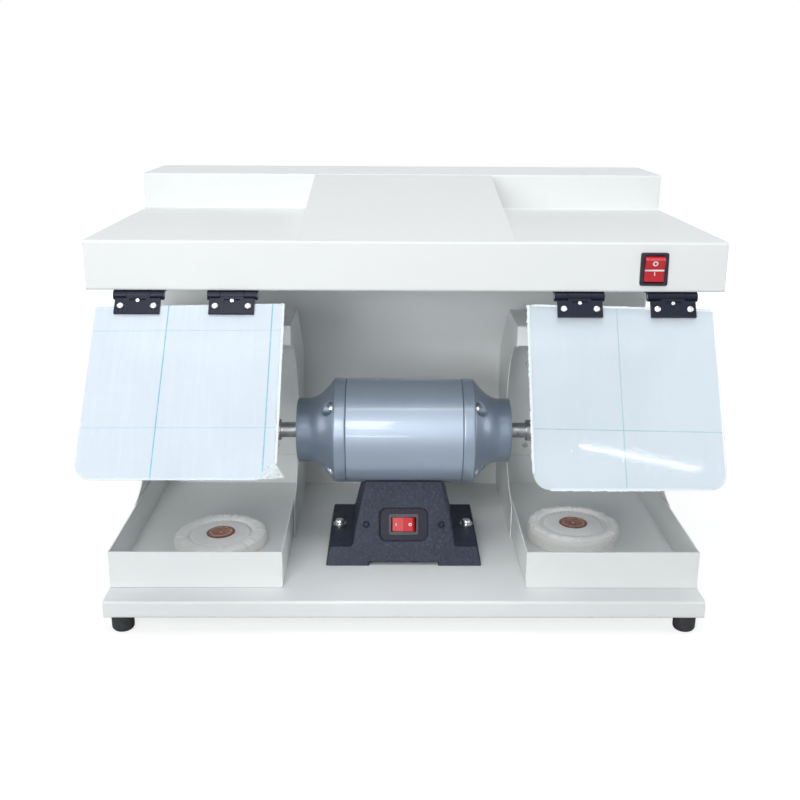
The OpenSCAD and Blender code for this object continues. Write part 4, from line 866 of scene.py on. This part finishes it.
GLARE_START, GLARE_END = (156, -143.5), (267, -165.6)
TUBE_FAR, TUBE_THICK, TUBE_POWER = 1.6, 0.008, 0.19

start, end = (mirrored(right_frame, *spot, TUBE_FAR) for spot in (GLARE_START, GLARE_END))
middle = (start + end) / 2
glare = right_frame @ Vector((0.21, 0, -0.155))
tube = area_light("tube", middle, glare, ((end - start).length, TUBE_THICK), TUBE_POWER)
ahead = (glare - middle).normalized()
along = (end - start).normalized()
tube.rotation_euler = Matrix((along, (-ahead).cross(along), -ahead)).transposed().to_euler()


# ---- cloth buffs and their washers ----------------------------------------

BUFF_RADIUS = 50.0
BUFF_BASE = 36.6  # height of a tray's floor, in mm
SPOKES = 240
EDGE_DROP = 1.6  # a buff's flat top lies this much under its full thickness


class Buff:
    """A cloth buff in mm, centred on its hole, and all that is sewn to it."""

    def __init__(self, side, centre, thick, plies, puff, rings, tilt, seed):
        self.side, self.thick, self.plies, self.puff = side, thick, plies, puff
        self.rings, self.tilt, self.seed = rings, tilt, seed
        self.crown = BUFF_BASE + thick - EDGE_DROP
        self.place = at_mm(*centre, 0)

    def sag(self, x, y):
        """The whole buff lies a little askew."""
        return self.tilt[0] * x + self.tilt[1] * y

    def rim_step(self, level, angle):
        """Radial step of the cut plies at a height 0..1, each ply with a wave of its own."""
        ply = min(int(level * self.plies), self.plies - 1)
        own = round_wave(angle, 2.4, self.seed + ply)
        fray = round_wave(angle, 20, self.seed + ply)
        groove = 1.0 - math.sin(math.pi * (level * self.plies - ply)) ** 0.5
        return 1.1 * own + 0.35 * fray - 0.9 * groove

    def top(self, r, angle):
        """Height of the cloth: pillows between the stitch rings, puckers and pleats outside."""
        t = r / BUFF_RADIUS
        rise = 0.0
        for ring in self.rings:
            rise -= 1.25 * math.exp(-((t - ring) / 0.032) ** 2)
        outer = max(0.0, (t - self.rings[-1]) / (1 - self.rings[-1]))
        if outer > 0:
            rise += self.puff * math.sin(math.pi * min(1, outer * 1.02)) ** 0.8
        rise += 0.5 * math.sin(math.pi * min(1.0, t / self.rings[0]))
        pucker = round_wave(angle, 5, self.seed) + 0.6 * round_wave(angle, 13, self.seed + 1)
        pleat = abs(round_wave(angle, 6, self.seed + 4))
        rise -= 1.9 * outer ** 0.6 * max(0.0, 1 - pleat / 0.11)
        rise += pucker * (0.15 + 1.5 * outer ** 1.2)
        return self.crown + rise + 0.3 * round_wave(angle, 0.08 * r, self.seed + 2)

    def skin_point(self, kind, value, a):
        """A point of the skin before it sags."""
        r, z = value, BUFF_BASE
        if kind == "top":
            drop = max(0.0, (r / BUFF_RADIUS - 0.93) / 0.07)
            z = self.top(r, a) - 1.5 * drop ** 2
        elif kind == "rim":
            r = BUFF_RADIUS + self.rim_step(value, a) - 0.7 * (2 * value - 1) ** 4
            z += 0.2 + (self.crown - BUFF_BASE - 1.5) * value
            z += 0.5 * value * round_wave(a, 4, self.seed + 5 + int(4 * value))
        return r * math.cos(a), r * math.sin(a), z

    def skin(self):
        """Top, cut rim and underside of the stitched plies in one closed mesh."""
        levels = self.plies * 6
        profile = [("top", BUFF_RADIUS * k / 60) for k in range(1, 60)]
        profile += [("rim", 1 - k / levels) for k in range(levels + 1)]
        profile += [("under", BUFF_RADIUS * (1 - k / 12)) for k in range(1, 12)]
        points = [(0.0, 0.0, self.crown + 0.2)]
        for kind, value in profile:
            for a in turns(SPOKES):
                x, y, z = self.skin_point(kind, value, a)
                points.append((x, y, z + (z - BUFF_BASE) / self.thick * self.sag(x, y)))
        last = len(points)
        points.append((0.0, 0.0, BUFF_BASE))
        faces = fan(0, 1, SPOKES)
        faces += [tuple(reversed(f)) for f in grid_faces(len(profile), SPOKES, True, 1)]
        faces += [tuple(reversed(f)) for f in fan(last, last - SPOKES, SPOKES)]
        self.add("_cloth_buff", points, faces, "cotton", "cotton", "_buff")

    def stitches(self):
        """Short arched threads along each ring."""
        pitch, half, girth_most, steps, sides = 4.6, 1.5, 0.42, 5, 6
        points, faces = [], []
        for ring in self.rings:
            sewn = ring * BUFF_RADIUS
            count = int(2 * math.pi * sewn / pitch)
            for k in range(count):
                a = 2 * math.pi * (k + 0.3 * wave(k, ring, self.seed)) / count
                r = sewn + 0.3 * wave(k, 2 * ring, self.seed + 1)
                start = len(points)
                for m in range(steps):
                    s = (m - 2) / 2
                    b = a + s * half / sewn
                    high = self.top(r, b) + 0.55 * (1 - s * s) + 0.12
                    girth = girth_most * math.sqrt(max(0.08, 1 - s * s))
                    for c in turns(sides):
                        rr = r + girth * math.cos(c)
                        x, y = rr * math.cos(b), rr * math.sin(b)
                        points.append((x, y, high + 0.8 * girth * math.sin(c) + self.sag(x, y)))
                faces += grid_faces(steps, sides, True, start)
                tail = start + (steps - 1) * sides
                faces += [tuple(start + n for n in range(sides)),
                          tuple(tail + n for n in reversed(range(sides)))]
        self.add("_buff_stitches", points, faces, "stitch_thread", "cotton")

    def washer(self):
        """The leather disc round the hole."""
        profile = ((2.1, 0.0), (2.1, 0.9), (3.0, 1.25), (7.0, 1.2), (11.0, 1.15), (14.6, 1.05),
                   (15.4, 0.6), (15.3, 0.0))
        spokes = 96
        points = []
        for r, z in profile:
            for a in turns(spokes):
                rr = r * (1 + 0.012 * round_wave(a, 3, self.seed + 9))
                x, y = rr * math.cos(a), rr * math.sin(a)
                rise = 0.55 + z + 0.25 * wave(x, y, self.seed + 8, 0.15)
                points.append((x, y, self.crown + rise + self.sag(x, y)))
        faces = [tuple(reversed(f)) for f in grid_faces(len(profile), spokes, True)]
        self.add("_leather_washer", points, faces, "leather", "leather", "_buff_washer")

    def add(self, ending, points, faces, look, slot, replaced=None):
        """Makes one piece, which rides on the tray and may replace a node."""
        name = self.side + ending
        mesh = mesh_of(name, points, faces)
        obj = piece(name, mesh, look, self.side + "_tray", self.place)
        if replaced:
            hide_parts(self.side + replaced)


for buff in (Buff("left", (-199.0, -52.03), 12.6, 9, 2.6, (0.67,), (0.035, 0.025), 31),
             Buff("right", (188.5, -37.03), 18.0, 13, 2.4, (0.66, 0.73), (-0.012, 0.008), 57)):
    buff.skin()
    buff.stitches()
    buff.washer()
